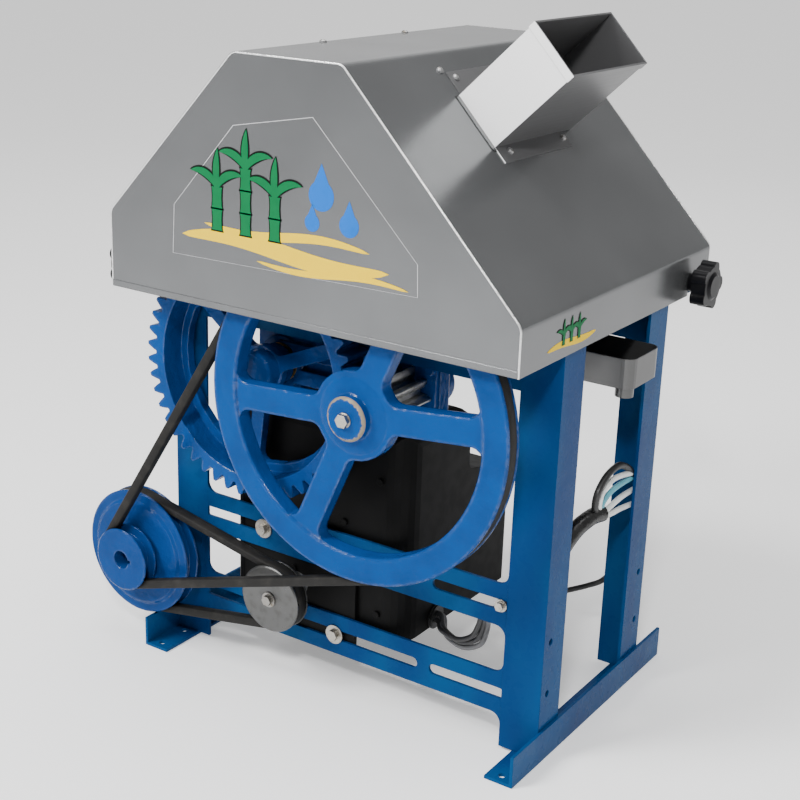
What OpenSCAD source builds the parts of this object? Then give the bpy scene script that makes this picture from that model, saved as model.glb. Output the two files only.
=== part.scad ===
// Sugarcane crushing mill on an angle iron stand, with a stainless hood and a belt driven flywheel.
// Millimetres. X runs along the rollers' feed direction to the right, Y to the rear, Z up from the floor.
// The origin is the centre of the four corner anchor holes in the foot rails.

/* [Stand] */
// Width over the outer faces of the left and right legs
frame_width = 569; // [480:1:680]
// Depth over the outer faces of the front and rear legs
frame_depth = 272; // [240:1:340]
// Width of a leg's face that looks to the front or rear
leg_face = 53; // [40:1:70]
// Width of a leg's face that looks to the side
leg_side = 50; // [40:1:70]
// Sheet thickness of legs, rails and foot rails
frame_sheet = 4; // [3:0.5:6]
// Height of the legs' top ends above the floor
leg_top = 518; // [500:1:560]
// Length of a foot rail from front to rear
foot_length = 404; // [360:2:480]
// Height of a foot rail's standing flange
foot_height = 41; // [30:1:50]
// Width of a foot rail's lying flange
foot_width = 38; // [30:1:50]
// Distance from a foot rail's end to its corner anchor hole
anchor_inset = 12; // [10:1:30]
// Diameter of the anchor holes
anchor_hole = 9; // [7:0.5:12]
// Height of the slotted rails' faces
rail_height = 55; // [45:1:65]
// Lower edge of the upper slotted rail above the floor
upper_rail_z = 165; // [150:1:180]
// Lower edge of the lower slotted rail above the floor
lower_rail_z = 48; // [44:1:60]
// Length of one adjusting slot between its round ends' centres
slot_length = 94; // [60:1:110]
// Height of the adjusting slots
slot_height = 14; // [10:0.5:16]

/* [Drive] */
// Height of the flywheel axis and the bull gear axis above the floor
shaft_z = 419; // [410:1:430]
// Distance from the left legs' outer faces to the bull gear's axis
gear_inset = 160; // [160:1:190]
// Outer diameter of the flywheel
flywheel_diameter = 413; // [380:1:440]
// Width of the flywheel's rim along the axis
rim_width = 24; // [22:0.5:30]
// Radial thickness of the flywheel's rim
rim_thickness = 34; // [24:1:40]
// Width of a flywheel spoke
spoke_width = 33; // [24:1:40]
// Diameter of the flywheel shaft
drive_shaft_diameter = 35; // [30:1:40]
// Gear module of the drive pinion and the bull gear
drive_module = 6.5; // [6:0.25:7]
// Teeth on the drive pinion
pinion_teeth = 10; // [10:1:12]
// Teeth on the bull gear
bull_teeth = 48; // [44:1:50]
// Face width of the bull gear's toothed rim
bull_width = 45; // [35:1:50]
// Diameter of the bull gear's shaft
bull_shaft_diameter = 38; // [32:1:40]
// Diameter of the step pulley's large disc
step_large = 174; // [150:1:190]
// Diameter of the step pulley's small disc
step_small = 87; // [76:1:96]
// Diameter of the motor pulley
motor_pulley_diameter = 90; // [76:1:100]
// Width of a belt across its back
belt_width = 16; // [12:0.1:16.6]
// Thickness of a belt
belt_thickness = 10.5; // [7:0.5:11]

/* [Rollers] */
// Diameter of a crushing roller
roller_diameter = 82; // [76:1:82]
// Gap between a crushing roller's end and the side casting
roller_end_gap = 4; // [2:0.5:8]
// Gear module of the roller gears and the transfer gears
roller_module = 6; // [6:0.5:6]
// Teeth on each roller gear
roller_teeth = 14; // [14:1:14]
// Sideways distance from the top roller to each lower roller
roller_spread = 58; // [54:1:60]
// Diameter of the roller journals
journal_diameter = 32; // [26:1:34]
// Thickness of the cast side plates that hold the rollers
cheek_thickness = 22; // [18:1:22]

/* [Hood] */
// Gap between a leg's outer face and the hood's skirt
hood_side_gap = 3; // [2:0.5:10]
// Distance from the flywheel's front face to the hood's front face
hood_front_gap = 19; // [17:0.5:40]
// Lower edge of the hood above the floor
hood_bottom = 516.4; // [514:0.1:520]
// Height of the left side skirt
left_skirt = 95; // [80:1:110]
// Height of the right side skirt
right_skirt = 55; // [50:1:70]
// Height of the hood from its lower edge to its flat top
hood_height = 300; // [290:1:330]
// Left edge of the flat top, measured from the middle
top_left = -96; // [-110:1:-80]
// Right edge of the flat top, measured from the middle
top_right = 54; // [40:1:70]
// Sheet thickness of the hood, chute and tray
hood_sheet = 1.2; // [1:0.1:2]
// Radius of the bends between the hood's sheet faces
bend_radius = 14; // [8:1:18]
// Length of the feed chute along its axis
chute_length = 129; // [100:1:160]
// Opening height of the feed chute, down the slope
chute_height = 73; // [60:1:90]
// Width of the feed chute from front to rear
chute_width = 183; // [150:1:190]
// Diameter of a hand knob
knob_diameter = 62; // [50:1:70]
// Diameter of a hand knob's stud
stud_diameter = 10; // [8:1:12]

/* [Fits] */
// Gap between a running shaft and its bush, on the radius
running_fit = 0.05; // [0.02:0.01:0.1]
// Gap between pieces that sit on each other but can part
seat_gap = 0.3; // [0.2:0.05:0.5]
// Backlash cut from each gear tooth at the pitch circle
backlash = 0.5; // [0.3:0.05:0.8]

/* [Hidden] */
pressure_angle = 25;
eps = 0.01;
hw = frame_width/2;
hd = frame_depth/2;
inner_x = hw - leg_face;
// planes from front to rear, measured from the front legs' faces
fy = -hd;
flywheel_y = fy - 90;
boss_y = fy - 104;
bull_y = fy - 50;
pinion_y = fy - 54;
pinion_length = 72;
belt_front_y = flywheel_y + rim_width/2;
belt_rear_y = fy - 44;
cheek_y = hd - frame_sheet;
bracket_y = cheek_y - cheek_thickness;
bracket_thickness = 20;
crown_y = hd + 5;
crown_width = 26;
transfer_y = crown_y + crown_width + 6;
// drive axes
centre_drive = drive_module*(pinion_teeth + bull_teeth)/2;
bull_x = -hw + gear_inset;
flywheel_x = bull_x + centre_drive;
step_x = -hw - 23.5;
step_z = 130;
motor_x = -hw + 202.5;
motor_z = 128;
cover_front = -hd + frame_sheet + 6;
cover_step = cover_front + 145;
cover_rear = hd - 6;
cover_top = 370;
cover_low = 85;
cover_left = motor_x - 118;
cover_right = motor_x + 162;
cheek_bolt_x = [bull_x - 25.5, bull_x + 164.5];
// roller axes
transfer_small = 22;
transfer_large = 32;
centre_transfer = roller_module*(transfer_small + transfer_large)/2;
roller_length = 2*bracket_y - 2*roller_end_gap;
discharge_x = bull_x + 17.5;
lower_z = shaft_z + sqrt(centre_transfer*centre_transfer - 17.5*17.5);
top_x = discharge_x + roller_spread;
feed_x = top_x + roller_spread;
crown_centre = roller_module*roller_teeth;
top_z = lower_z + sqrt(crown_centre*crown_centre - roller_spread*roller_spread);
rr = roller_diameter/2;
jr = journal_diameter/2;
tie_spots = [[discharge_x - 40, 544], [feed_x + 40, 544], [top_x - 40, top_z + 40], [top_x + 40, top_z + 40]];
dr = drive_shaft_diameter/2;
br = bull_shaft_diameter/2;
bush_wall = 6;
// gear phases so that all teeth mesh at rest
pinion_phase = 0;
bull_phase = mesh_phase(pinion_phase, pinion_teeth, bull_teeth, 180);
transfer_angle = atan2(lower_z - shaft_z, discharge_x - bull_x);
small_phase = 4;
large_phase = mesh_phase(small_phase, transfer_small, transfer_large, transfer_angle);
left_angle = atan2(lower_z - top_z, discharge_x - top_x);
right_angle = atan2(lower_z - top_z, feed_x - top_x);
top_phase = 0;
discharge_phase = mesh_phase(top_phase, roller_teeth, roller_teeth, left_angle);
feed_phase = mesh_phase(top_phase, roller_teeth, roller_teeth, right_angle);
// hood outline in the X Z plane
hx = hw + hood_side_gap;
hy = hood_front_gap - flywheel_y;
hood_top = hood_bottom + hood_height;
slope_a = [top_right, hood_top];
slope_b = [hx, hood_bottom + right_skirt];
slope_run = norm(slope_b - slope_a);
slope_dir = (slope_b - slope_a)/slope_run;
slope_out = [-slope_dir[1], slope_dir[0]];
chute_start = 62;
chute_y = 14;
knob_y = 191;
knob_z = 533;
stud_r = stud_diameter/2;
side_rail_z = leg_top;
side_rail_top = leg_top + 32;
slot_x = inner_x - 50.5;
centre_slot = 2*slot_x - slot_length - 2*slot_height - 35;
// X, rail, plate behind, washer radius and width across flats of each rail bolt
bolt_spots = [[motor_x - 53.5, 0, 6, 13, 13], [slot_x + 43, 0, 0, 8, 10], [motor_x + 64, 1, 6, 13, 13]];
// cable routes, shifted with the cover's side wall at first and with the right legs further on
function route(pts) = [for (p = pts) p + [p[0] < 130 ? cover_right - 80 : hw - 284.5, 0, 0]];
loom_a = route([[85,-51,103],[92,-52.5,101],[100,-58,88],[126,-60,79],[150,-61,90],[161,-65,112],
    [168,-74,130],[179,-88,146]]);
loom_b = route([[85,-44,98],[92,-45.5,95],[101,-54,78],[128,-56,70],[154,-57,83],[165,-62,108],
    [171,-70,127],[182,-86,143]]);
loom_c = route([[85,-56,96],[92,-57.5,94],[99,-63,88],[124,-65,84],[146,-66,96],[157,-70,116],
    [165,-79,132],[177,-90,143]]);
trunk = route([[182.5,-91.5,149.5],[208,-90,158],[234,-80,184],[248,-54,226],[256,-22,256],[263,6,267],
    [268,28,267]]);
lead_a = route([[268,22,268],[269,16,284],[270,24,300],[272,44,308],[275,70,307],[276,94,302]]);
lead_b = route([[268,24,268],[269,26,282],[271,44,292],[274,70,296],[276,95,296]]);
lead_c = route([[268,22,266],[270,44,270],[273,70,276],[276,98,278]]);
lead_d = route([[266,16,268],[268,6,284],[270,8,303],[271,28,318],[272,58,322],[275,82,311],[276,96,294]]);
lead_e = route([[268,22,264],[270,44,260],[273,70,260],[276,98,258]]);
cord = route([[-38.4,90,104.2],[-12,103,84],[28,118,66],[68,132,59],[100,140,60],[135,142,67],
    [175.4,142,87.7],[205,142,104],[226,142,119],[246,141,150],[256,140.2,190],[258,140,240],[258,140,300]]);

// Functions for gears

function inv(a) = tan(a)*180/PI - a;
function mesh_phase(p1, z1, z2, line) = line + 180 + 180/z2 - (p1 - line)*z1/z2;
function half_angle(r, rp, rb, z) =
    90/z - backlash/2/rp*180/PI + inv(pressure_angle) - inv(acos(min(1, rb/r)));
function tooth(z, m, tip, root, c) =
    let (rp = z*m/2, rb = rp*cos(pressure_angle), rs = max(rb + 0.01, root + 0.5), n = 4,
         radii = [for (i = [0:n]) rs + (tip - rs)*i/n], foot = half_angle(rs, rp, rb, z))
    concat(
        [[root*cos(c - foot - 22/z), root*sin(c - foot - 22/z)]],
        [for (r = radii) let (a = c - half_angle(r, rp, rb, z)) [r*cos(a), r*sin(a)]],
        [for (i = [n:-1:0]) let (r = radii[i], a = c + half_angle(r, rp, rb, z)) [r*cos(a), r*sin(a)]],
        [[root*cos(c + foot + 22/z), root*sin(c + foot + 22/z)]]);

module gear_shape(z, m, tip, root, phase) {
    polygon([for (k = [0:z - 1]) each tooth(z, m, tip, root, phase + 360*k/z)]);
}

// Placing helpers

// Stands an X Z outline up and gives it depth from y0 to the rear.
module plate(y0, depth) {
    translate([0, y0 + depth, 0]) rotate([90, 0, 0]) linear_extrude(depth) children();
}

// A round bar along Y from y0 to the rear.
module bar_y(x, z, r, y0, length, fn = 64) {
    translate([x, y0 + length, z]) rotate([90, 0, 0]) cylinder(h = length, r = r, $fn = fn);
}

// A round bar along X.
module bar_x(x0, length, y, z, r, fn = 32) {
    translate([x0, y, z]) rotate([0, 90, 0]) cylinder(h = length, r = r, $fn = fn);
}

// A hexagon bar along Y.
module hex_y(x, z, across, y0, length) {
    bar_y(x, z, across/2/cos(30), y0, length, 6);
}

// Sweeps a round section along a list of points.
module tube(pts, r, n = 8) {
    last = len(pts) - 1;
    dirs = [for (i = [0:last]) let (d = pts[min(i + 1, last)] - pts[max(i - 1, 0)]) d/norm(d)];
    sides = [for (d = dirs) let (s = cross(d, [0.31, 0.2, 0.93])) s/norm(s)];
    ring = [for (i = [0:last]) for (k = [0:n - 1]) let (a = 360*k/n, s = sides[i], u = cross(dirs[i], s))
        pts[i] + r*(cos(a)*s + sin(a)*u)];
    walls = [for (i = [0:last - 1]) for (k = [0:n - 1])
        [i*n + k, (i + 1)*n + k, (i + 1)*n + (k + 1)%n, i*n + (k + 1)%n]];
    polyhedron(ring, concat(walls, [[for (k = [0:n - 1]) k]], [[for (k = [n - 1:-1:0]) last*n + k]]));
}

// Rounds a route through its points.
function blend(p, t) = 0.5*(2*p[1] + (p[2] - p[0])*t + (2*p[0] - 5*p[1] + 4*p[2] - p[3])*t*t
    + (3*p[1] - p[0] - 3*p[2] + p[3])*t*t*t);
function smooth(p, n = 4) = let (last = len(p) - 1)
    concat([for (i = [0:last - 1]) for (k = [0:n - 1])
        blend([p[max(i - 1, 0)], p[i], p[i + 1], p[min(i + 2, last)]], k/n)], [p[last]]);

// Stand

// Builds the four legs from one profile, turned to its corner.
module leg(sx, sy) {
    x1 = sx > 0 ? hw - leg_face : -hw;
    difference() {
        union() {
            translate([x1, sy > 0 ? hd - frame_sheet : -hd, frame_sheet])
                cube([leg_face, frame_sheet, leg_top - frame_sheet]);
            translate([sx > 0 ? hw - frame_sheet : -hw, sy > 0 ? hd - leg_side : -hd, frame_sheet])
                cube([frame_sheet, leg_side, leg_top - frame_sheet]);
        }
        for (z = [87.3, 156.6])
            bar_x(sx > 0 ? hw - 10 : -hw - 10, 20, sy*(hd - 16), z, 4.5, 24);
    }
}

module front_left_leg() color([0.1, 0.4, 0.7]) leg(-1, -1);
module front_right_leg() color([0.1, 0.4, 0.7]) leg(1, -1);
module rear_left_leg() color([0.1, 0.4, 0.7]) leg(-1, 1);
module rear_right_leg() color([0.1, 0.4, 0.7]) leg(1, 1);

// An angle that lies under the legs, its standing flange outside them.
module foot_rail(sx) {
    difference() {
        union() {
            translate([sx > 0 ? hw - foot_width + frame_sheet : -hw - frame_sheet, -foot_length/2, 0])
                cube([foot_width, foot_length, frame_sheet]);
            translate([sx > 0 ? hw : -hw - frame_sheet, -foot_length/2, 0])
                cube([frame_sheet, foot_length, foot_height]);
        }
        for (y = [-1, 1]) {
            translate([sx*(hw - 16), y*(foot_length/2 - anchor_inset), -1])
                cylinder(h = frame_sheet + 2, d = anchor_hole, $fn = 32);
            translate([sx*(hw - 16), y*(hd + 9), -1])
                cylinder(h = frame_sheet + 2, d = anchor_hole, $fn = 32);
        }
    }
}

module left_foot_rail() color([0.1, 0.4, 0.7]) foot_rail(-1);
module right_foot_rail() color([0.1, 0.4, 0.7]) foot_rail(1);

// Quarter circle points that widen a rail's end where it meets a leg.
function flare(x, z, sx, sz, r = 14) =
    [for (a = [0:15:90]) [x - sx*r*(1 - sin(a)), z + sz*r*(1 - cos(a))]];

// One slotted cross rail between the front legs, in their front plane.
module slotted_rail(z0) {
    z1 = z0 + rail_height;
    zc = z0 + rail_height/2;
    turn = [for (i = [6:-1:0]) i];
    top_left_end = flare(-inner_x, z1, -1, 1);
    low_right_end = flare(inner_x, z0, 1, -1);
    plate(-hd, frame_sheet) difference() {
        polygon(concat(flare(inner_x, z1, 1, 1), [for (i = turn) low_right_end[i]],
            flare(-inner_x, z0, -1, -1), [for (i = turn) top_left_end[i]]));
        for (sx = [-1, 1])
            translate([sx*slot_x, zc]) {
                square([slot_length, slot_height], center = true);
                for (e = [-1, 1])
                    translate([e*slot_length/2, 0]) circle(d = slot_height, $fn = 32);
            }
        translate([0, zc]) {
            square([centre_slot, slot_height], center = true);
            for (e = [-1, 1])
                translate([e*centre_slot/2, 0]) circle(d = slot_height, $fn = 32);
        }
    }
}

module upper_slotted_rail() color([0.1, 0.4, 0.7]) slotted_rail(upper_rail_z);
module lower_slotted_rail() color([0.1, 0.4, 0.7]) slotted_rail(lower_rail_z);

// Cross rail at the top of the legs that carries one side casting.
module top_rail(sy) {
    plate(sy > 0 ? hd - frame_sheet : -hd, frame_sheet) difference() {
        translate([-inner_x, 463]) square([2*inner_x, rail_height]);
        for (x = cheek_bolt_x)
            translate([x, 498]) circle(r = 4.5, $fn = 24);
    }
}

module front_top_rail() color([0.1, 0.4, 0.7]) top_rail(-1);
module rear_top_rail() color([0.1, 0.4, 0.7]) top_rail(1);

// Angle on top of the legs with the welded nut for a hand knob.
module side_rail(sx, nut_y) {
    difference() {
        union() {
            translate([sx > 0 ? hw - frame_sheet : -hw, -hy + 30, side_rail_z])
                cube([frame_sheet, 2*hy - 60, side_rail_top - side_rail_z]);
            translate([sx > 0 ? hw - 26 : -hw, -hy + 30, side_rail_z])
                cube([26, 2*hy - 60, frame_sheet]);
            bar_x(sx > 0 ? hw - 18 : -hw, 18, nut_y, knob_z, 9, 6);
        }
        bar_x(sx > 0 ? hw - 40 : -hw - 10, 50, nut_y, knob_z, stud_r + running_fit, 32);
    }
}

module left_side_rail() color([0.1, 0.4, 0.7]) side_rail(-1, -knob_y);
module right_side_rail() color([0.1, 0.4, 0.7]) side_rail(1, knob_y);

// Hexagon bolts with washers in the slotted rails, with their nuts behind.
module rail_bolts() color([0.75, 0.74, 0.7])
    for (b = bolt_spots) {
        z = (b[1] > 0 ? lower_rail_z : upper_rail_z) + rail_height/2;
        nut_y = -hd + frame_sheet + b[2];
        bar_y(b[0], z, b[3], fy - 2, 2, 40);
        hex_y(b[0], z, b[4], fy - 7.5, 5.5);
        bar_y(b[0], z, 4, fy - 1, 12 + b[2], 24);
        hex_y(b[0], z, 13, nut_y, 6.5);
    }

// Plate behind the slotted rails that holds the motor and slides to tighten its belt.
module motor_plate() color([0.11, 0.11, 0.11]) difference() {
    translate([motor_x - 88, fy + frame_sheet, 56]) cube([180, 6, 156]);
    for (b = bolt_spots)
        if (b[2] > 0)
            bar_y(b[0], (b[1] > 0 ? lower_rail_z : upper_rail_z) + rail_height/2, 4, fy, 20, 24);
    bar_y(motor_x, motor_z, 16 + seat_gap, fy, 20, 48);
    bar_y(motor_x - 6, 148, 2.5, fy, 20, 24);
}

// Side view of the black cover: high at the front, stepped down at the rear.
module cover_outline(s) {
    f = cover_front + s;
    m = cover_step - s;
    e = cover_rear - s;
    polygon(concat(
        [[f, cover_low - (s > 0 ? 5 : 0)]],
        corner([f, cover_low], [f, cover_top - s], [m, cover_top - s], 24 - s),
        corner([f, cover_top - s], [m, cover_top - s], [m, 290], 24 - s),
        corner([m, cover_top - s], [m, 282 - s], [e, 258 - s], 12 + s),
        corner([m, 282 - s], [e, 258 - s], [e, cover_low], 24 - s),
        [[e, cover_low - (s > 0 ? 5 : 0)]]));
}

// The black cover seen from above, with round corners.
module cover_plan(s) {
    x0 = cover_left + s;
    x1 = cover_right - s;
    y0 = cover_front + s;
    y1 = cover_rear - s;
    r = 30 - s;
    polygon(concat(corner([x0, y1], [x0, y0], [x1, y0], r), corner([x0, y0], [x1, y0], [x1, y1], r),
        corner([x1, y0], [x1, y1], [x0, y1], 9 - s), corner([x1, y1], [x0, y1], [x0, y0], 9 - s)));
}

// The black cover seen from the front, with round shoulders.
module cover_front_view(s) {
    x0 = cover_left + s;
    x1 = cover_right - s;
    z1 = cover_top - s;
    r = 24 - s;
    polygon(concat([[x0, 60]], corner([x0, 60], [x0, z1], [x1, z1], r),
        corner([x0, z1], [x1, z1], [x1, 60], r), [[x1, 60]]));
}

module cover_block(s) {
    intersection() {
        translate([cover_left - 50, 0, 0]) rotate([90, 0, 90]) linear_extrude(380) cover_outline(s);
        linear_extrude(420) cover_plan(s);
        plate(fy - 60, 2*hd + 120) cover_front_view(s);
    }
}

cover_screw_spots = [[motor_x + 69, 232], [motor_x - 88, 232], [motor_x + 122, 118], [motor_x + 122, 300]];

// Black cover over the motor, open below.
module motor_cover() color([0.11, 0.11, 0.11]) difference() {
    cover_block(0);
    cover_block(3);
    bar_y(motor_x, motor_z, 27, fy - 4, 30, 48);
    for (b = bolt_spots)
        bar_y(b[0], (b[1] > 0 ? lower_rail_z : upper_rail_z) + rail_height/2, 10, fy - 4, 30, 32);
    for (p = cover_screw_spots)
        bar_y(p[0], p[1], 2.5, fy - 4, 30, 24);
    bar_x(cover_right - 10, 20, -50, 98, 15);
}

// Small screws on the front of the cover and on the motor plate.
module cover_screws() color([0.3, 0.3, 0.3]) {
    for (p = cover_screw_spots) {
        bar_y(p[0], p[1], 4.5, cover_front - 3, 3, 24);
        bar_y(p[0], p[1], 2.5, cover_front - 1, 9, 24);
    }
    bar_y(motor_x - 6, 148, 5, fy + frame_sheet - 3, 3, 24);
    bar_y(motor_x - 6, 148, 2.5, fy + frame_sheet - 1, 9, 24);
}

// Round motor frame with end shields and cooling ribs.
module motor_body() color([0.3, 0.31, 0.33]) difference() {
    union() {
        bar_y(motor_x, motor_z, 58, fy + 32, 170, 64);
        bar_y(motor_x, motor_z, 62, fy + 24, 14, 64);
        bar_y(motor_x, motor_z, 62, fy + 188, 14, 64);
        bar_y(motor_x, motor_z, 48, fy + 202, 30, 48);
        bar_y(motor_x, motor_z, 16, cover_front - 4, 20, 48);
        bar_y(motor_x, motor_z, 40, cover_front + 3, 14, 48);
        for (a = [0:20:340])
            translate([motor_x, 0, motor_z]) rotate([0, a, 0])
                translate([-2, fy + 42, 56]) cube([4, 144, 8]);
    }
    bar_y(motor_x, motor_z, 12 + running_fit, fy - 4, 200, 48);
}

// Mill

// Outline of a cast side plate, wide at its foot and narrow at the top roller.
module cheek_outline() {
    difference() {
        polygon([[discharge_x - 66, 466], [discharge_x - 66, 500], [discharge_x - 52, 520],
            [discharge_x - 52, lower_z + 20], [top_x - 52, top_z + 8], [top_x - 52, top_z + 52],
            [top_x - 44, top_z + 60], [top_x + 44, top_z + 60], [top_x + 52, top_z + 52],
            [top_x + 52, top_z + 8], [feed_x + 52, lower_z + 20], [feed_x + 52, 520],
            [feed_x + 66, 500], [feed_x + 66, 466]]);
        for (p = [[discharge_x, lower_z], [top_x, top_z], [feed_x, lower_z]])
            translate(p) circle(r = jr + bush_wall, $fn = 64);
        translate([top_x, lower_z - 12]) circle(r = 13, $fn = 48);
    }
}

module cheek(sy) {
    y0 = sy > 0 ? cheek_y - cheek_thickness : -cheek_y;
    difference() {
        plate(y0, cheek_thickness) cheek_outline();
        for (x = cheek_bolt_x)
            bar_y(x, 498, 4.5, y0 - 1, cheek_thickness + 2, 24);
        for (p = tie_spots)
            bar_y(p[0], p[1], 7, y0 - 1, cheek_thickness + 2, 32);
        bar_z(top_x, y0 + cheek_thickness/2, top_z + jr + bush_wall - 2, 8, 60);
    }
}

// A round bar along Z.
module bar_z(x, y, z0, r, length, fn = 32) {
    translate([x, y, z0]) cylinder(h = length, r = r, $fn = fn);
}

module front_cheek() color([0.1, 0.4, 0.7]) cheek(-1);
module rear_cheek() color([0.1, 0.4, 0.7]) cheek(1);

module cheek_bolts() color([0.75, 0.74, 0.7])
    for (sy = [-1, 1])
        for (x = cheek_bolt_x) {
            y0 = sy > 0 ? hd : -hd - 3.5;
            hex_y(x, 498, 13, y0, 3.5);
            bar_y(x, 498, 4.5, sy > 0 ? bracket_y : -hd, frame_sheet + cheek_thickness, 24);
        }

// Casting that hangs from the front side plate and holds the two drive shafts.
module drive_bracket() color([0.1, 0.4, 0.7]) difference() {
    union() {
        plate(-bracket_y, bracket_thickness) polygon([[bull_x - 40, 530], [bull_x - 40, 400],
            [bull_x - 20, 381], [flywheel_x + 28, 381], [flywheel_x + 46, 399], [flywheel_x + 46, 470],
            [feed_x + 40, 500], [feed_x + 40, 530]]);
        bar_y(bull_x, shaft_z, 34, -bracket_y - 6, 56, 64);
        plate(-bracket_y - 12, 13) difference() {
            translate([bull_x, 431]) square([84, 18]);
            translate([bull_x, shaft_z]) circle(r = 30, $fn = 48);
        }
        plate(-bracket_y - 9, 10) difference() {
            translate([bull_x, 396]) square([84, 19]);
            translate([bull_x, shaft_z]) circle(r = 30, $fn = 48);
        }
        plate(-bracket_y - 12, 13)
            translate([bull_x + 58, 448]) square([20, 18]);
    }
    bar_y(bull_x, shaft_z, br + bush_wall, fy - 4, 120, 64);
    bar_y(flywheel_x, shaft_z, 30, fy - 4, 60, 64);
    translate([bull_x + 26, -bracket_y - 20, 382]) cube([30, 60, 12]);
    for (p = [[-40, 40], [40, 40], [-40, -32], [40, -32]])
        bar_y(flywheel_x + p[0]*0.9, shaft_z + p[1]*0.9, 4, -bracket_y - 1, 16, 24);
}

module rear_bracket() color([0.1, 0.4, 0.7]) difference() {
    union() {
        plate(bracket_y - bracket_thickness, bracket_thickness) polygon([[bull_x - 40, 530],
            [bull_x - 40, 400], [bull_x - 20, 381], [bull_x + 20, 381], [bull_x + 40, 400],
            [bull_x + 40, 480], [bull_x + 80, 500], [bull_x + 80, 530]]);
        bar_y(bull_x, shaft_z, 34, bracket_y - 50, 56, 64);
    }
    bar_y(bull_x, shaft_z, br + bush_wall, bracket_y - 60, 90, 64);
}

// Flanged bearing housing of the flywheel shaft.
module drive_housing() color([0.1, 0.4, 0.7]) difference() {
    union() {
        bar_y(flywheel_x, shaft_z, 30, -bracket_y - 7, 66, 64);
        translate([flywheel_x - 44, -bracket_y - 7, shaft_z - 36]) cube([88, 7, 80]);
        for (p = [[-40, 40], [40, 40], [-40, -32], [40, -32]])
            hex_y(flywheel_x + p[0]*0.9, shaft_z + p[1]*0.9, 12, -bracket_y - 12, 6);
    }
    bar_y(flywheel_x, shaft_z, dr + bush_wall, -bracket_y - 20, 90, 64);
}

module tie_rods() color([0.7, 0.7, 0.7])
    for (p = tie_spots) {
        bar_y(p[0], p[1], 7, -cheek_y, 2*cheek_y, 32);
        hex_y(p[0], p[1], 19, -cheek_y - 8, 8);
        hex_y(p[0], p[1], 19, cheek_y, 8);
    }

// Bronze bushes in the castings, one at each journal.
module bush(x, z, shaft_r, y0, length) {
    difference() {
        bar_y(x, z, shaft_r + bush_wall, y0, length);
        bar_y(x, z, shaft_r + running_fit, y0 - 1, length + 2);
    }
}

module shaft_bushes() color([0.72, 0.52, 0.25]) {
    for (p = [[discharge_x, lower_z], [top_x, top_z], [feed_x, lower_z]]) {
        bush(p[0], p[1], jr, -cheek_y, cheek_thickness);
        bush(p[0], p[1], jr, cheek_y - cheek_thickness, cheek_thickness);
    }
    bush(bull_x, shaft_z, br, -bracket_y - 6, 56);
    bush(bull_x, shaft_z, br, bracket_y - 50, 56);
    bush(flywheel_x, shaft_z, dr, -bracket_y - 7, 66);
}

// Curved plate between the lower rollers that turns the crushed cane.
module trash_plate() color([0.6, 0.6, 0.62]) {
    plate(-bracket_y, 2*bracket_y) translate([top_x, lower_z])
        polygon([[-11, -8], [-4, 6], [4, 6], [11, -8], [6, -24], [-6, -24]]);
    bar_y(top_x, lower_z - 12, 13, -cheek_y, 2*cheek_y, 48);
}

module pressure_screws() color([0.7, 0.7, 0.7])
    for (sy = [-1, 1]) {
        y = sy*(cheek_y - cheek_thickness/2);
        bar_z(top_x, y, top_z + jr + bush_wall, 8, 62 - jr - bush_wall + 12);
        translate([top_x, y, top_z + 60]) cylinder(h = 8, r = 12/cos(30), $fn = 6);
    }

// Stainless pan under the rollers with its spout to the right.
module juice_tray() color([0.75, 0.76, 0.78]) {
    s = hood_sheet;
    x0 = discharge_x - 65;
    x1 = feed_x + 106;
    x2 = hw + 20.5;
    pan = bracket_y - bracket_thickness - 4;
    difference() {
        union() {
            translate([x0, -pan, 456]) cube([x1 - x0, 2*pan, 36]);
            translate([0, 0, 443]) linear_extrude(37) spout_plan(x1 - 20, x2, 0);
            bar_z(x2 - 15, 14, 430, 11.2, 14);
            for (y = [-pan - 4, pan - s])
                translate([x0, y, 490.8]) cube([x1 - x0, 4 + s, s]);
        }
        translate([x0 + s, -pan + s, 456 + s]) cube([x1 - x0 - 2*s, 2*pan - 2*s, 60]);
        translate([0, 0, 443 + s]) linear_extrude(60) spout_plan(x1 - 20, x2, s);
        bar_z(x2 - 15, 14, 420, 9, 40);
    }
}

// The spout seen from above, its outer corners rounded.
module spout_plan(x0, x1, s) {
    polygon(concat([[x0 + s, 77 - s], [x0 + s, -3 + s]],
        corner([x0, -3 + s], [x1 - s, -3 + s], [x1 - s, 77 - s], 14 - s),
        corner([x1 - s, -3 + s], [x1 - s, 77 - s], [x0, 77 - s], 14 - s)));
}

// Left outrigger plate with the boss for the step pulley's axle.
module axle_bracket() color([0.1, 0.4, 0.7]) difference() {
    union() {
        plate(fy - 8, 8) polygon([[step_x - 26, 104], [step_x - 10, 92], [-inner_x - 4.5, 92],
            [-inner_x - 4.5, 168], [step_x - 10, 168], [step_x - 26, 156]]);
        bar_y(step_x, step_z, 20, -hd - 26, 26, 48);
    }
    bar_y(step_x, step_z, 8.5, -hd - 40, 60, 48);
}

module stub_axle() color([0.6, 0.6, 0.6]) {
    bar_y(step_x, step_z, 8.5, fy - 70, 74, 48);
    bar_y(step_x, step_z, 12, fy, 4, 40);
}

// Flywheel and its shaft

// Groove walls of a single belt groove, for a revolved pulley section.
function groove(r, y) = let (w = belt_width/2 + 0.2, d = belt_thickness + 2)
    [[r, y - w - 0.5], [r - d, y - w], [r - d, y + w], [r, y + w + 0.5]];

// Turns a section of radius and Y values about an axis along Y.
module turned(x, z, fn = 96) {
    translate([x, 0, z]) rotate([-90, 0, 0]) rotate([0, 0, 0]) rotate_extrude($fn = fn) children();
}

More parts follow.
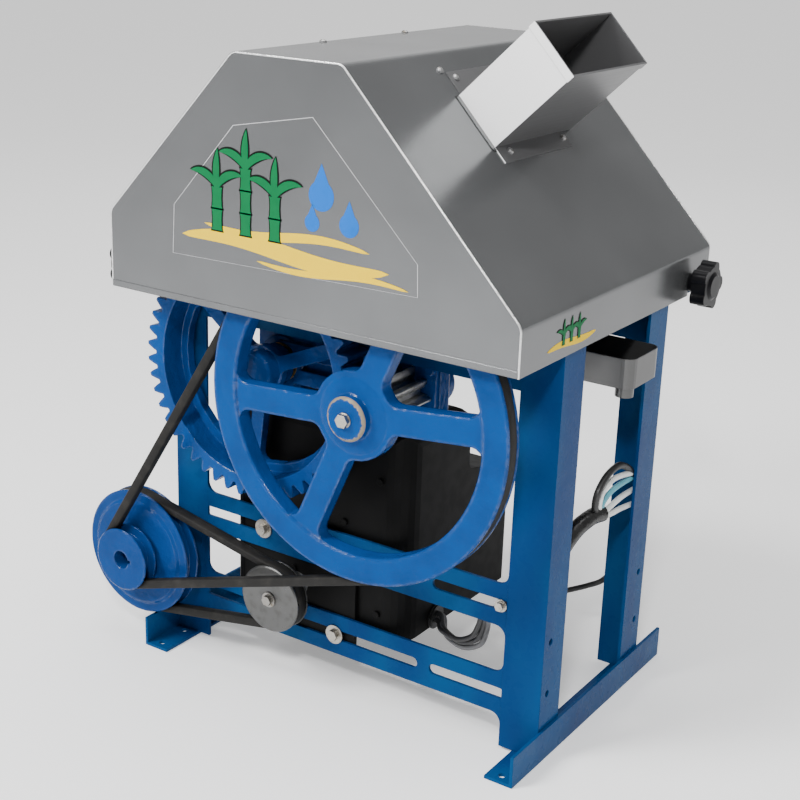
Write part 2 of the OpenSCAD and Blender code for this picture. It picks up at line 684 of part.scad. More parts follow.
// One window of a spoked wheel between the spokes at angles a and b, with rounded corners.
function turn_point(p, a) = [p[0]*cos(a) - p[1]*sin(a), p[0]*sin(a) + p[1]*cos(a)];
function window(a, b, w, ro, ri, f) =
    let (e = w/2 + f, xo = sqrt((ro - f)*(ro - f) - e*e), xi = sqrt((ri + f)*(ri + f) - e*e),
         ao = atan2(e, xo), ai = atan2(e, xi),
         outer = [for (i = [0:4]) let (t = -90 + (90 + ao)*i/4) [xo + f*cos(t), e + f*sin(t)]],
         inner = [for (i = [0:4]) let (t = 180 + ai + (90 - ai)*i/4) [xi + f*cos(t), e + f*sin(t)]],
         half = concat(inner, outer), n = len(half) - 1)
    concat([for (p = half) turn_point(p, a)],
        [for (i = [1:7]) let (t = a + ao + (b - a - 2*ao)*i/8) ro*[cos(t), sin(t)]],
        [for (i = [n:-1:0]) turn_point([half[i][0], -half[i][1]], b)],
        [for (i = [1:5]) let (t = b - ai - (b - a - 2*ai)*i/6) ri*[cos(t), sin(t)]]);

spoke_angles = [6, 66, 184, 247, 366];

module spoke_windows() {
    for (i = [0:3])
        polygon(window(spoke_angles[i], spoke_angles[i + 1], spoke_width,
            flywheel_diameter/2 - rim_thickness + 2, 54, 15));
}

module flywheel() color([0.1, 0.4, 0.7]) {
    r = flywheel_diameter/2;
    ri = r - rim_thickness;
    difference() {
        union() {
            turned(flywheel_x, shaft_z, 120) polygon(concat(
                [[ri, flywheel_y + 2], [ri + 2, flywheel_y], [r - 1.5, flywheel_y], [r, flywheel_y + 1]],
                groove(r, belt_front_y),
                [[r, flywheel_y + rim_width - 1], [r - 1.5, flywheel_y + rim_width],
                [ri + 2, flywheel_y + rim_width], [ri, flywheel_y + rim_width - 2]]));
            translate([flywheel_x, 0, shaft_z])
                plate(flywheel_y + 3, rim_width - 6) difference() {
                    circle(r = ri + 6, $fn = 120);
                    spoke_windows();
                }
            turned(flywheel_x, shaft_z, 72) polygon([[0, boss_y], [24, boss_y], [27, boss_y + 3],
                [27, flywheel_y - 1], [44, flywheel_y + 2], [48, flywheel_y + 3.5], [48, flywheel_y + 18],
                [32, flywheel_y + 23], [30, pinion_y], [0, pinion_y]]);
        }
        bar_y(flywheel_x, shaft_z, dr, boss_y + 6, 100);
        bar_y(flywheel_x, shaft_z, 5, boss_y - 1, 10, 24);
    }
}

module flywheel_shaft() color([0.6, 0.6, 0.6]) {
    back = bracket_thickness - bracket_y + 39;
    bar_y(flywheel_x, shaft_z, dr, boss_y + 6, back - boss_y);
    bar_y(flywheel_x, shaft_z, dr + 5, back + seat_gap, 6, 48);
}

module drive_pinion() color([0.72, 0.72, 0.7]) difference() {
    translate([flywheel_x, 0, shaft_z]) plate(pinion_y, pinion_length)
        gear_shape(pinion_teeth, drive_module, pinion_teeth*drive_module/2 + 6.5,
            pinion_teeth*drive_module/2 - 8, pinion_phase);
    bar_y(flywheel_x, shaft_z, dr, pinion_y - 5, pinion_length + 10);
}

module hub_bolt() color([0.7, 0.69, 0.66]) {
    bar_y(flywheel_x, shaft_z, 9, boss_y - 1.5, 1.5, 40);
    hex_y(flywheel_x, shaft_z, 15, boss_y - 7.5, 6);
    bar_y(flywheel_x, shaft_z, 5, boss_y - 1, 7, 24);
}

// Bull gear and its shaft

module bull_windows() {
    for (a = [-97, 23, 143])
        polygon(window(a, a + 120, 19, 124, 30, 10));
}

module bull_gear() color([0.1, 0.4, 0.7]) {
    pitch = bull_teeth*drive_module/2;
    difference() {
        union() {
            translate([bull_x, 0, shaft_z]) plate(bull_y, bull_width) difference() {
                gear_shape(bull_teeth, drive_module, pitch + 5.7, pitch - 8, bull_phase);
                circle(r = 135, $fn = 96);
            }
            translate([bull_x, 0, shaft_z]) plate(bull_y + bull_width - 12, 12) difference() {
                circle(r = 136, $fn = 96);
                bull_windows();
            }
            turned(bull_x, shaft_z, 64) polygon([[0, bull_y + 12], [24, bull_y + 12], [27, bull_y + 15],
                [27, bull_y + 60], [25, bull_y + 64], [0, bull_y + 64]]);
        }
        bar_y(bull_x, shaft_z, br, bull_y + 24, 100);
    }
}

module bull_shaft() color([0.6, 0.6, 0.6]) {
    bar_y(bull_x, shaft_z, br, bull_y + 24, transfer_y + crown_width + 2 - bull_y - 24);
}

module transfer_pinion() color([0.45, 0.46, 0.48]) difference() {
    translate([bull_x, 0, shaft_z]) plate(transfer_y, crown_width)
        gear_shape(transfer_small, roller_module, transfer_small*3 + 6, transfer_small*3 - 7.4, small_phase);
    bar_y(bull_x, shaft_z, br, transfer_y - 5, crown_width + 10);
}

// Rollers and their gears

module roller(x, z, tail) {
    bar_y(x, z, rr, -roller_length/2, roller_length, 72);
    bar_y(x, z, jr, -cheek_y - 2, cheek_y + 2 + tail, 48);
}

module top_roller() color([0.66, 0.66, 0.66]) roller(top_x, top_z, crown_y + crown_width);
module feed_roller() color([0.66, 0.66, 0.66]) roller(feed_x, lower_z, crown_y + crown_width);
module discharge_roller() color([0.66, 0.66, 0.66]) roller(discharge_x, lower_z, transfer_y + crown_width);

module roller_gear(x, z, phase) {
    difference() {
        translate([x, 0, z]) plate(crown_y, crown_width)
            gear_shape(roller_teeth, roller_module, roller_teeth*3 + 5.6, roller_teeth*3 - 7.2, phase);
        bar_y(x, z, jr, crown_y - 5, crown_width + 10, 48);
    }
}

module top_roller_gear() color([0.45, 0.46, 0.48]) roller_gear(top_x, top_z, top_phase);
module feed_roller_gear() color([0.45, 0.46, 0.48]) roller_gear(feed_x, lower_z, feed_phase);
module discharge_roller_gear() color([0.45, 0.46, 0.48]) roller_gear(discharge_x, lower_z, discharge_phase);

module transfer_gear() color([0.45, 0.46, 0.48]) difference() {
    translate([discharge_x, 0, lower_z]) plate(transfer_y, crown_width)
        gear_shape(transfer_large, roller_module, transfer_large*3 + 5.6, transfer_large*3 - 7.4,
            large_phase);
    bar_y(discharge_x, lower_z, jr, transfer_y - 5, crown_width + 10, 48);
}

// Pulleys and belts

module step_pulley() color([0.1, 0.4, 0.7]) {
    rs = step_small/2;
    rl = step_large/2;
    bore = 8.5 + running_fit;
    difference() {
        turned(step_x, step_z, 96) polygon(concat(
            [[bore, fy - 69], [12.5, fy - 69], [12.5, fy - 89], [rs - 1.5, fy - 89], [rs, fy - 88]],
            groove(rs, belt_front_y),
            [[rs, fy - 67.5], [rs - 2, fy - 66], [33, fy - 66], [33, fy - 61], [rl - 16, fy - 59],
            [rl - 12, fy - 56], [rl - 1.5, fy - 56], [rl, fy - 55]],
            groove(rl, belt_rear_y),
            [[rl, fy - 33], [rl - 1.5, fy - 32], [rl - 16, fy - 32], [rl - 18, fy - 38], [30, fy - 42],
            [26, fy - 27], [bore, fy - 27]]));
        translate([step_x, fy - 90, step_z - 2.5]) cube([16.5, 21, 5]);
    }
}

module motor_pulley() color([0.4, 0.39, 0.37]) {
    r = motor_pulley_diameter/2;
    difference() {
        turned(motor_x, motor_z, 72) polygon(concat(
            [[0, fy - 56], [r - 2, fy - 56], [r, fy - 54.5]],
            groove(r, belt_rear_y),
            [[r, fy - 33.5], [r - 2, fy - 32], [28, fy - 32], [26, fy - 14], [0, fy - 14]]));
        bar_y(motor_x, motor_z, 12, fy - 44, 60, 48);
        bar_y(motor_x, motor_z, 4, fy - 60, 20, 24);
    }
}

module motor_shaft() color([0.6, 0.6, 0.6]) {
    bar_y(motor_x, motor_z, 12, fy - 44, 230, 48);
    bar_y(motor_x, motor_z, 4, fy - 57, 14, 24);
    bar_y(motor_x, motor_z, 10, fy - 58, 2, 40);
    hex_y(motor_x, motor_z, 12, fy - 63, 5);
}

// Outer line of a belt round two pulleys, as points of two arcs joined by tangents.
function belt_line(c1, r1, c2, r2, n = 30) =
    let (d = norm(c2 - c1), line = atan2(c2[1] - c1[1], c2[0] - c1[0]), open = acos((r1 - r2)/d))
    concat([for (i = [0:n]) let (a = line + open + (360 - 2*open)*i/n) c1 + r1*[cos(a), sin(a)]],
        [for (i = [0:n]) let (a = line - open + 2*open*i/n) c2 + r2*[cos(a), sin(a)]]);

module belt(c1, r1, c2, r2, yc) {
    plate(yc - belt_width/2, belt_width) difference() {
        polygon(belt_line(c1, r1 - 0.8, c2, r2 - 0.8));
        polygon(belt_line(c1, r1 - 0.8 - belt_thickness, c2, r2 - 0.8 - belt_thickness));
    }
}

module flywheel_belt() color([0.2, 0.2, 0.19])
    belt([step_x, step_z], step_small/2, [flywheel_x, shaft_z], flywheel_diameter/2, belt_front_y);

module motor_belt() color([0.2, 0.2, 0.19])
    belt([step_x, step_z], step_large/2, [motor_x, motor_z], motor_pulley_diameter/2, belt_rear_y);

// Hood

// Rounded corner of the outline between three points.
function corner(a, b, c, r, n = 5) =
    let (u = (a - b)/norm(a - b), v = (c - b)/norm(c - b), half = acos(u*v)/2, t = r/tan(half),
         p = b + u*t, q = b + v*t, w = (u + v)/norm(u + v), o = b + w*(r/sin(half)),
         a0 = atan2(p[1] - o[1], p[0] - o[0]), da = atan2(q[1] - o[1], q[0] - o[0]) - a0,
         sweep = da > 180 ? da - 360 : da < -180 ? da + 360 : da)
    [for (i = [0:n]) o + r*[cos(a0 + sweep*i/n), sin(a0 + sweep*i/n)]];

module hood_outline(inset) {
    s = inset;
    p1 = [-hx + s, hood_bottom - (s > 0 ? 5 : 0)];
    p2 = [-hx + s, hood_bottom + left_skirt - s*0.5];
    p3 = [top_left + s*0.4, hood_top - s];
    p4 = [top_right - s*0.4, hood_top - s];
    p5 = [hx - s, hood_bottom + right_skirt - s*0.5];
    p6 = [hx - s, hood_bottom - (s > 0 ? 5 : 0)];
    r = bend_radius - s;
    polygon(concat([p1], corner(p1, p2, p3, r), corner(p2, p3, p4, r), corner(p3, p4, p5, r),
        corner(p4, p5, p6, r), [p6]));
}

// Places children on the right slope: X down the slope, Y to the rear, Z out of it.
module on_slope() {
    translate([slope_a[0], 0, slope_a[1]])
        rotate([0, atan2(-slope_dir[1], slope_dir[0]), 0]) children();
}

module hood_shell() color([0.72, 0.73, 0.75]) difference() {
    plate(-hy, 2*hy) hood_outline(0);
    plate(-hy + hood_sheet, 2*hy - 2*hood_sheet) hood_outline(hood_sheet);
    on_slope() translate([chute_start + hood_sheet, chute_y - chute_width/2 + hood_sheet, -20])
        cube([chute_height - 2*hood_sheet, chute_width - 2*hood_sheet, 40]);
    for (s = [-1, 1]) {
        translate([s > 0 ? hx - 10 : -hx - 10, s*knob_y - stud_r - 1, hood_bottom - 10])
            cube([20, 2*stud_r + 2, knob_z - hood_bottom + 10]);
        bar_x(s > 0 ? hx - 10 : -hx - 10, 20, s*knob_y, knob_z, stud_r + 1, 32);
    }
    translate([-hx - 5, -60, hood_bottom + 38]) cube([10, 150, 44]);
}

// Small brackets inside the hood that stand on the side rails.
module hood_clips() color([0.72, 0.73, 0.75])
    for (s = [-1, 1])
        for (y = [-150, 110]) {
            translate([s > 0 ? hx - hood_sheet - 14 : -hx + hood_sheet, y, side_rail_top])
                cube([14, 30, 2]);
            translate([s > 0 ? hx - hood_sheet - 2 : -hx + hood_sheet, y, side_rail_top])
                cube([2, 30, 12]);
        }

// Rectangular feed chute that stands square on the slope, with a turned rim and side flanges.
module feed_chute() color([0.72, 0.73, 0.75]) {
    s = hood_sheet;
    on_slope() translate([chute_start, chute_y - chute_width/2, 0]) difference() {
        union() {
            cube([chute_height, chute_width, chute_length]);
            translate([-1.2, -1.2, chute_length - 10]) cube([chute_height + 2.4, chute_width + 2.4, 10]);
            translate([chute_height - s, 0, 0]) cube([22 + s, chute_width - 23, s]);
            translate([-32, 5, 0]) cube([32 + s, 100, s]);
        }
        translate([s, s, -1]) cube([chute_height - 2*s, chute_width - 2*s, chute_length + 2]);
    }
}

module rivet(x, y, z) {
    translate([x, y, z]) {
        cylinder(h = 1.4, r = 4.4, $fn = 24);
        translate([0, 0, 1.4]) cylinder(h = 1.4, r1 = 4, r2 = 2.4, $fn = 24);
    }
}

module chute_rivets() color([0.8, 0.8, 0.8])
    on_slope() {
        for (y = [24, 151.5])
            rivet(chute_start + chute_height + 9, chute_y - chute_width/2 + y, hood_sheet);
        for (y = [17, 90])
            rivet(chute_start - 23, chute_y - chute_width/2 + y, hood_sheet);
        rivet(chute_start - 36, chute_y - chute_width/2 - 2, 0);
    }

module ridge_screws() color([0.5, 0.5, 0.5])
    for (y = [-87, 87])
        rivet(top_left + 8, y, hood_top);

// Lobed hand knob with its moulded-in stud.
module knob(s, y) {
    translate([s*(hx + seat_gap), y, knob_z]) rotate([0, s*90, 0]) {
        cylinder(h = 11, r1 = 11, r2 = 13, $fn = 48);
        translate([0, 0, 11]) linear_extrude(19) union() {
            circle(r = knob_diameter/2 - 6, $fn = 64);
            for (a = [0:72:288])
                rotate(a + 18) translate([knob_diameter/2 - 9, 0]) circle(r = 9, $fn = 32);
        }
        translate([0, 0, 30]) cylinder(h = 3, r1 = 18, r2 = 14, $fn = 48);
        translate([0, 0, -30]) cylinder(h = 30 + eps, r = stud_r, $fn = 32);
    }
}

module left_knob() color([0.08, 0.08, 0.09]) knob(-1, -knob_y);
module right_knob() color([0.08, 0.08, 0.09]) knob(1, knob_y);

// Leads

// Rubber grommet in the cover's side wall, where the grey leads come out.
module lead_grommet() color([0.07, 0.07, 0.07]) {
    bar_x(cover_right - 3, 7, -50, 98, 15, 32);
    bar_x(cover_right, 2, -50, 98, 17.5, 32);
}

module lead_loom() color([0.45, 0.45, 0.45]) {
    tube(smooth(loom_a), 3.6);
    tube(smooth(loom_b), 3.6);
    tube(smooth(loom_c), 3.6);
}

module splice_leads() color([0.12, 0.12, 0.12]) {
    tube(smooth(trunk), 10.5);
    for (lead = [lead_a, lead_b, lead_c, lead_e])
        tube(smooth(lead), 3.6);
    tube(smooth(lead_d), 4.5);
}

module black_cord() color([0.07, 0.07, 0.07]) tube(smooth(cord), 3.8);

left_foot_rail();
right_foot_rail();
front_left_leg();
front_right_leg();
rear_left_leg();
rear_right_leg();
upper_slotted_rail();
lower_slotted_rail();
front_top_rail();
rear_top_rail();
left_side_rail();
right_side_rail();
rail_bolts();
motor_plate();
motor_cover();
cover_screws();
motor_body();
front_cheek();
rear_cheek();
cheek_bolts();
drive_bracket();
rear_bracket();
drive_housing();
tie_rods();
shaft_bushes();
trash_plate();
pressure_screws();
juice_tray();
axle_bracket();
stub_axle();
flywheel();
flywheel_shaft();
drive_pinion();
hub_bolt();
bull_gear();
bull_shaft();
transfer_pinion();
top_roller();
feed_roller();
discharge_roller();
top_roller_gear();
feed_roller_gear();
discharge_roller_gear();
transfer_gear();
step_pulley();
motor_pulley();
motor_shaft();
hood_shell();
hood_clips();
feed_chute();
chute_rivets();
ridge_screws();
left_knob();
right_knob();
flywheel_belt();
motor_belt();
lead_grommet();
lead_loom();
splice_leads();
black_cord();
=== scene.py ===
"""Finishes, belts, leads, seams and small trim for a sugarcane crushing mill."""

import logging
import math
from dataclasses import dataclass, field
from enum import Enum
from typing import Sequence

import bpy
from mathutils import Matrix, Vector


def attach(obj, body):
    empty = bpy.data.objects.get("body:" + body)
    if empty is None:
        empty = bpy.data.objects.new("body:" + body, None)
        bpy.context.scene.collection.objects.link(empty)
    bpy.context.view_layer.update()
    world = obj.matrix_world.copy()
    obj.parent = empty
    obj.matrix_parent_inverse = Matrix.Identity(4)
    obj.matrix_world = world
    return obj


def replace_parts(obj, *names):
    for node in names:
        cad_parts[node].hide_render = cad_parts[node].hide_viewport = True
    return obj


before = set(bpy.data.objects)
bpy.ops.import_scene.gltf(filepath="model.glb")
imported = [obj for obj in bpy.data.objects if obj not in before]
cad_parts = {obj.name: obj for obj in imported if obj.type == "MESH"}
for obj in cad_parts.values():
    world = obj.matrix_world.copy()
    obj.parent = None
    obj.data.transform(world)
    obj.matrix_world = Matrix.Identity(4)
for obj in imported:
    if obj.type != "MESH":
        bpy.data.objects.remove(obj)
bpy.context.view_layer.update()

Point = tuple[float, float, float]
Flat = tuple[float, float]
Colour = tuple[float, float, float]

MM = 0.001
# Places of the colour sockets on a Mix node, whose names repeat those of its other kinds.
MIX_FIRST, MIX_SECOND, MIX_RESULT = 6, 7, 2
log = logging.getLogger("cane_mill")


class Body(Enum):
    """Rigid bodies of the mill that new pieces ride on."""

    STAND = "stand"
    HOOD = "hood"


class Operation(Enum):
    """Operations of the math nodes."""

    ADD = "ADD"
    TIMES = "MULTIPLY"
    SINE = "SINE"


class FarEnd(Enum):
    """What is on a lead's far end."""

    OBJECT = "object"
    BARE = "bare"


def scaled(colour: Colour, factor: float) -> Colour:
    """Gives a colour times a factor, at most white."""
    return tuple(min(1.0, part * factor) for part in colour)


def show(name: str, data: bpy.types.ID) -> bpy.types.Object:
    """Adds an object with its data to the scene.

    Args:
        name: the object's name.
        data: its mesh, curve, light or camera.

    Returns:
        The new object.
    """
    thing = bpy.data.objects.new(name, data)
    bpy.context.scene.collection.objects.link(thing)
    return thing


class ShaderSheet:
    """One Principled material with the textures that a finish adds to it."""

    def __init__(self, name: str) -> None:
        """Makes the material.

        Args:
            name: the material's name.
        """
        self.material = bpy.data.materials.new(name)
        self.material.use_nodes = True
        self.tree = self.material.node_tree
        self.shader = next(n for n in self.tree.nodes if n.type == "BSDF_PRINCIPLED")
        self.places = self.tree.nodes.new("ShaderNodeTexCoord")

    def set(self, **values: float | Sequence[float]) -> None:
        """Sets the shader's own sockets; an underscore in a name stands for a space."""
        for key, value in values.items():
            self.shader.inputs[key.replace("_", " ")].default_value = value

    def link(self, source: bpy.types.NodeSocket, socket: bpy.types.NodeSocket) -> None:
        """Joins two sockets."""
        self.tree.links.new(source, socket)

    def feed(self, source: bpy.types.NodeSocket, socket_name: str) -> None:
        """Joins a texture to one of the shader's sockets."""
        self.link(source, self.shader.inputs[socket_name])

    def noise(
        self, scale: float, detail: float = 3.0, stretch: Point = (1.0, 1.0, 1.0), shift: float = 0.0
    ) -> bpy.types.NodeSocket:
        """Adds a noise texture in the piece's own metres.

        Args:
            scale: how many features there are to a metre.
            detail: how many finer layers the noise has.
            stretch: factors for the three directions.
            shift: moves the pattern, so that two uses differ.

        Returns:
            The noise's factor socket.
        """
        mapping = self.tree.nodes.new("ShaderNodeMapping")
        mapping.inputs["Scale"].default_value = stretch
        mapping.inputs["Location"].default_value = (shift, shift * 0.7, shift * 1.3)
        self.link(self.places.outputs["Object"], mapping.inputs["Vector"])
        noise = self.tree.nodes.new("ShaderNodeTexNoise")
        noise.inputs["Scale"].default_value = scale
        noise.inputs["Detail"].default_value = detail
        self.link(mapping.outputs["Vector"], noise.inputs["Vector"])
        return noise.outputs[0]

    def span(
        self, source: bpy.types.NodeSocket, low: float, high: float, to_low: float, to_high: float
    ) -> bpy.types.NodeSocket:
        """Maps one range of values smoothly to another.

        Args:
            source: the values.
            low: the lower end of their range.
            high: the upper end of their range.
            to_low: the value at the lower end.
            to_high: the value at the upper end.

        Returns:
            The mapped values.
        """
        node = self.tree.nodes.new("ShaderNodeMapRange")
        node.interpolation_type = "SMOOTHSTEP"
        for name, value in zip(("From Min", "From Max", "To Min", "To Max"), (low, high, to_low, to_high)):
            node.inputs[name].default_value = value
        self.link(source, node.inputs["Value"])
        return node.outputs["Result"]

    def sum(
        self,
        first: bpy.types.NodeSocket,
        second: bpy.types.NodeSocket | float,
        how: Operation = Operation.ADD,
    ) -> bpy.types.NodeSocket:
        """Combines two values.

        Args:
            first: the first value.
            second: the second value, a socket or a number.
            how: what is done with them.

        Returns:
            The result.
        """
        node = self.tree.nodes.new("ShaderNodeMath")
        node.operation = how.value
        self.link(first, node.inputs[0])
        if isinstance(second, (int, float)):
            node.inputs[1].default_value = second
        else:
            self.link(second, node.inputs[1])
        return node.outputs[0]

    def mix(
        self, mask: bpy.types.NodeSocket, first: Colour | bpy.types.NodeSocket, second: Colour
    ) -> bpy.types.NodeSocket:
        """Mixes two colours.

        Args:
            mask: 0 shows the first colour and 1 the second.
            first: the first colour, plain or from a texture.
            second: the second colour.

        Returns:
            The mixed colour.
        """
        node = self.tree.nodes.new("ShaderNodeMix")
        node.data_type = "RGBA"
        self.link(mask, node.inputs[0])
        if isinstance(first, bpy.types.NodeSocket):
            self.link(first, node.inputs[MIX_FIRST])
        else:
            node.inputs[MIX_FIRST].default_value = (*first, 1.0)
        node.inputs[MIX_SECOND].default_value = (*second, 1.0)
        return node.outputs[MIX_RESULT]

    def rounded(self, radius: float) -> bpy.types.NodeSocket:
        """Gives the surface's normal with the edges rounded.

        Args:
            radius: radius of the rounding, in metres.

        Returns:
            The normal.
        """
        bevel = self.tree.nodes.new("ShaderNodeBevel")
        bevel.samples = 4
        bevel.inputs["Radius"].default_value = radius
        return bevel.outputs["Normal"]

    def relief(self, heights: Sequence[tuple[bpy.types.NodeSocket, float]], edge: float) -> None:
        """Rounds the edges and adds bumps.

        Args:
            heights: textures with the depth of each in metres.
            edge: radius of the rounded look of sharp edges, in metres.
        """
        normal = self.rounded(edge)
        for height, depth in heights:
            bump = self.tree.nodes.new("ShaderNodeBump")
            bump.inputs["Strength"].default_value = 1.0
            bump.inputs["Distance"].default_value = depth
            self.link(height, bump.inputs["Height"])
            self.link(normal, bump.inputs["Normal"])
            normal = bump.outputs["Normal"]
        self.feed(normal, "Normal")

    def edge_mask(self, radius: float, low: float, high: float) -> bpy.types.NodeSocket:
        """Finds the rounded edges.

        Args:
            radius: how far from an edge the mask reaches, in metres.
            low: the mask's value on flat faces.
            high: its value on the edges.

        Returns:
            The mask.
        """
        flat = self.tree.nodes.new("ShaderNodeNewGeometry")
        dot = self.tree.nodes.new("ShaderNodeVectorMath")
        dot.operation = "DOT_PRODUCT"
        self.link(self.rounded(radius), dot.inputs[0])
        self.link(flat.outputs["Normal"], dot.inputs[1])
        return self.span(dot.outputs["Value"], 0.90, 0.995, high, low)

    def axis_distance(self, x: float, z: float) -> bpy.types.NodeSocket:
        """Measures the distance from an axis along Y.

        Args:
            x: the axis's X in metres.
            z: the axis's Z in metres.

        Returns:
            The distance in metres.
        """
        flat = self.tree.nodes.new("ShaderNodeMapping")
        flat.inputs["Location"].default_value = (-x, 0.0, -z)
        flat.inputs["Scale"].default_value = (1.0, 0.0, 1.0)
        self.link(self.places.outputs["Object"], flat.inputs["Vector"])
        length = self.tree.nodes.new("ShaderNodeVectorMath")
        length.operation = "LENGTH"
        self.link(flat.outputs["Vector"], length.inputs[0])
        return length.outputs["Value"]

    def part_of(self, output: str, letter: str) -> bpy.types.NodeSocket:
        """Gives one coordinate of the piece's own place or normal.

        Args:
            output: Object or Normal.
            letter: X, Y or Z.

        Returns:
            The coordinate.
        """
        split = self.tree.nodes.new("ShaderNodeSeparateXYZ")
        self.link(self.places.outputs[output], split.inputs[0])
        return split.outputs[letter]


@dataclass(frozen=True)
class Finish:
    """A surface finish with a name, a colour and a gloss."""

    name: str
    slot: str
    colour: Colour
    roughness: float
    edge: float = 0.0006

    def material(self) -> bpy.types.Material:
        """Gives the finish's material, made at its first use.

        Returns:
            The material.
        """
        name = f"look_{self.name}"
        made = bpy.data.materials.get(name)
        if made:
            return made
        sheet = ShaderSheet(name)
        sheet.set(Base_Color=(*self.colour, 1.0), Roughness=self.roughness)
        self.dress(sheet)
        return sheet.material

    def dress(self, sheet: ShaderSheet) -> None:
        """Adds the finish's textures; the plain one has a faint mottle.

        Args:
            sheet: the material that they are added to.
        """
        mottle = sheet.noise(90.0)
        cloud = sheet.span(mottle, 0.35, 0.7, 0.0, 1.0)
        sheet.feed(sheet.mix(cloud, self.colour, scaled(self.colour, 0.7)), "Base Color")
        sheet.relief([(mottle, 0.0002)], self.edge)


@dataclass(frozen=True)
class CastEnamel(Finish):
    """Glossy enamel over rough cast iron, chipped here and there."""

    lumps: float = 70.0
    depth: float = 0.0011
    chips: float = 0.80
    glint: float = 0.75
    bare: Colour = (0.16, 0.14, 0.11)

    def dress(self, sheet: ShaderSheet) -> None:
        """Adds casting lumps, a little dirt and small chips.

        Args:
            sheet: the material that they are added to.
        """
        lumps = sheet.noise(self.lumps, 4.0)
        grain = sheet.noise(170.0, 3.0, shift=3.0)
        dirt = sheet.span(sheet.noise(22.0, 3.0, shift=1.0), 0.35, 0.75, 0.0, 1.0)
        shade = sheet.mix(dirt, self.colour, scaled(self.colour, 0.80))
        speck = sheet.sum(
            sheet.noise(230.0, 4.0, shift=5.0), sheet.noise(14.0, 1.0, shift=8.0), Operation.TIMES
        )
        worn = sheet.span(speck, self.chips * 0.6, self.chips * 0.64, 0.0, 1.0)
        sheet.feed(sheet.mix(worn, shade, self.bare), "Base Color")
        sheet.feed(sheet.span(grain, 0.3, 0.75, self.roughness * 0.9, self.roughness * 1.2), "Roughness")
        broken = sheet.span(sheet.noise(150.0, 3.0, shift=6.0), 0.40, 0.60, 0.2, 1.0)
        glints = sheet.sum(sheet.edge_mask(self.edge * 1.3, 0.0, self.glint), broken, Operation.TIMES)
        sheet.feed(sheet.sum(glints, 0.07), "Specular IOR Level")
        sheet.relief([(lumps, self.depth), (grain, self.depth * 0.45)], self.edge)


@dataclass(frozen=True)
class WheelEnamel(CastEnamel):
    """Cast enamel with a boss face rubbed bare round one axis."""

    axis: Flat = (0.064, 0.419)
    face_y: float = -0.2362
    rubbed: Flat = (0.0232, 0.0278)
    ring: Colour = (0.24, 0.20, 0.15)

    def dress(self, sheet: ShaderSheet) -> None:
        """Adds the worn ring to the cast enamel.

        Args:
            sheet: the material that it is added to.
        """
        super().dress(sheet)
        painted = sheet.shader.inputs["Base Color"].links[0].from_socket
        away = sheet.axis_distance(*self.axis)
        ragged = sheet.sum(
            away, sheet.span(sheet.noise(240.0, 4.0, shift=2.0), 0.2, 0.8, -0.0014, 0.0014)
        )
        inner = sheet.span(ragged, self.rubbed[0], self.rubbed[0] + 0.0008, 0.0, 1.0)
        outer = sheet.span(ragged, self.rubbed[1], self.rubbed[1] + 0.0010, 1.0, 0.0)
        front = sheet.span(sheet.part_of("Object", "Y"), self.face_y - 0.0006, self.face_y, 1.0, 0.0)
        bare = sheet.sum(sheet.sum(inner, outer, Operation.TIMES), front, Operation.TIMES)
        sheet.feed(sheet.mix(bare, painted, self.ring), "Base Color")


@dataclass(frozen=True)
class SheetEnamel(Finish):
    """Smooth gloss enamel on sheet steel, with a faint orange peel."""

    shine: float = 0.06
    tint: Colour = (0.42, 0.8, 1.0)

    def dress(self, sheet: ShaderSheet) -> None:
        """Adds soft clouds, a little gloss change and faint dents.

        Args:
            sheet: the material that they are added to.
        """
        peel = sheet.noise(60.0, 2.0)
        wave = sheet.noise(13.0, 2.0, (1.0, 1.0, 0.35), 4.0)
        deep = (self.colour[0] * 1.3, self.colour[1] * 0.62, self.colour[2] * 0.78)
        sheet.feed(sheet.mix(sheet.span(wave, 0.35, 0.7, 0.0, 1.0), self.colour, deep), "Base Color")
        sheet.feed(sheet.span(peel, 0.3, 0.7, self.roughness * 0.9, self.roughness * 1.15), "Roughness")
        sheet.set(Specular_IOR_Level=self.shine, Specular_Tint=(*self.tint, 1.0))
        sheet.relief([(wave, 0.0007)], self.edge)


@dataclass(frozen=True)
class BrushedSteel(Finish):
    """Stainless sheet with fine level brush lines."""

    lines: Point = (5.0, 5.0, 900.0)
    line_depth: float = 0.00002
    metal: float = 1.0
    streak: float = 0.3

    def dress(self, sheet: ShaderSheet) -> None:
        """Adds brush lines and soft clouds.

        Args:
            sheet: the material that they are added to.
        """
        brush = sheet.noise(1.0, 4.0, self.lines)
        clouds = sheet.noise(7.0, 3.0, shift=2.0)
        dark = scaled(self.colour, 0.92)
        tone = sheet.mix(sheet.span(clouds, 0.3, 0.7, 0.0, 1.0), scaled(self.colour, 1.06), dark)
        tone = sheet.mix(sheet.span(brush, 0.3, 0.7, 0.0, self.streak), tone, dark)
        sheet.feed(tone, "Base Color")
        sheet.set(Metallic=self.metal)
        sheet.feed(sheet.span(brush, 0.3, 0.7, self.roughness * 0.95, self.roughness * 1.06), "Roughness")
        sheet.relief([(brush, self.line_depth), (clouds, 0.0012)], self.edge)


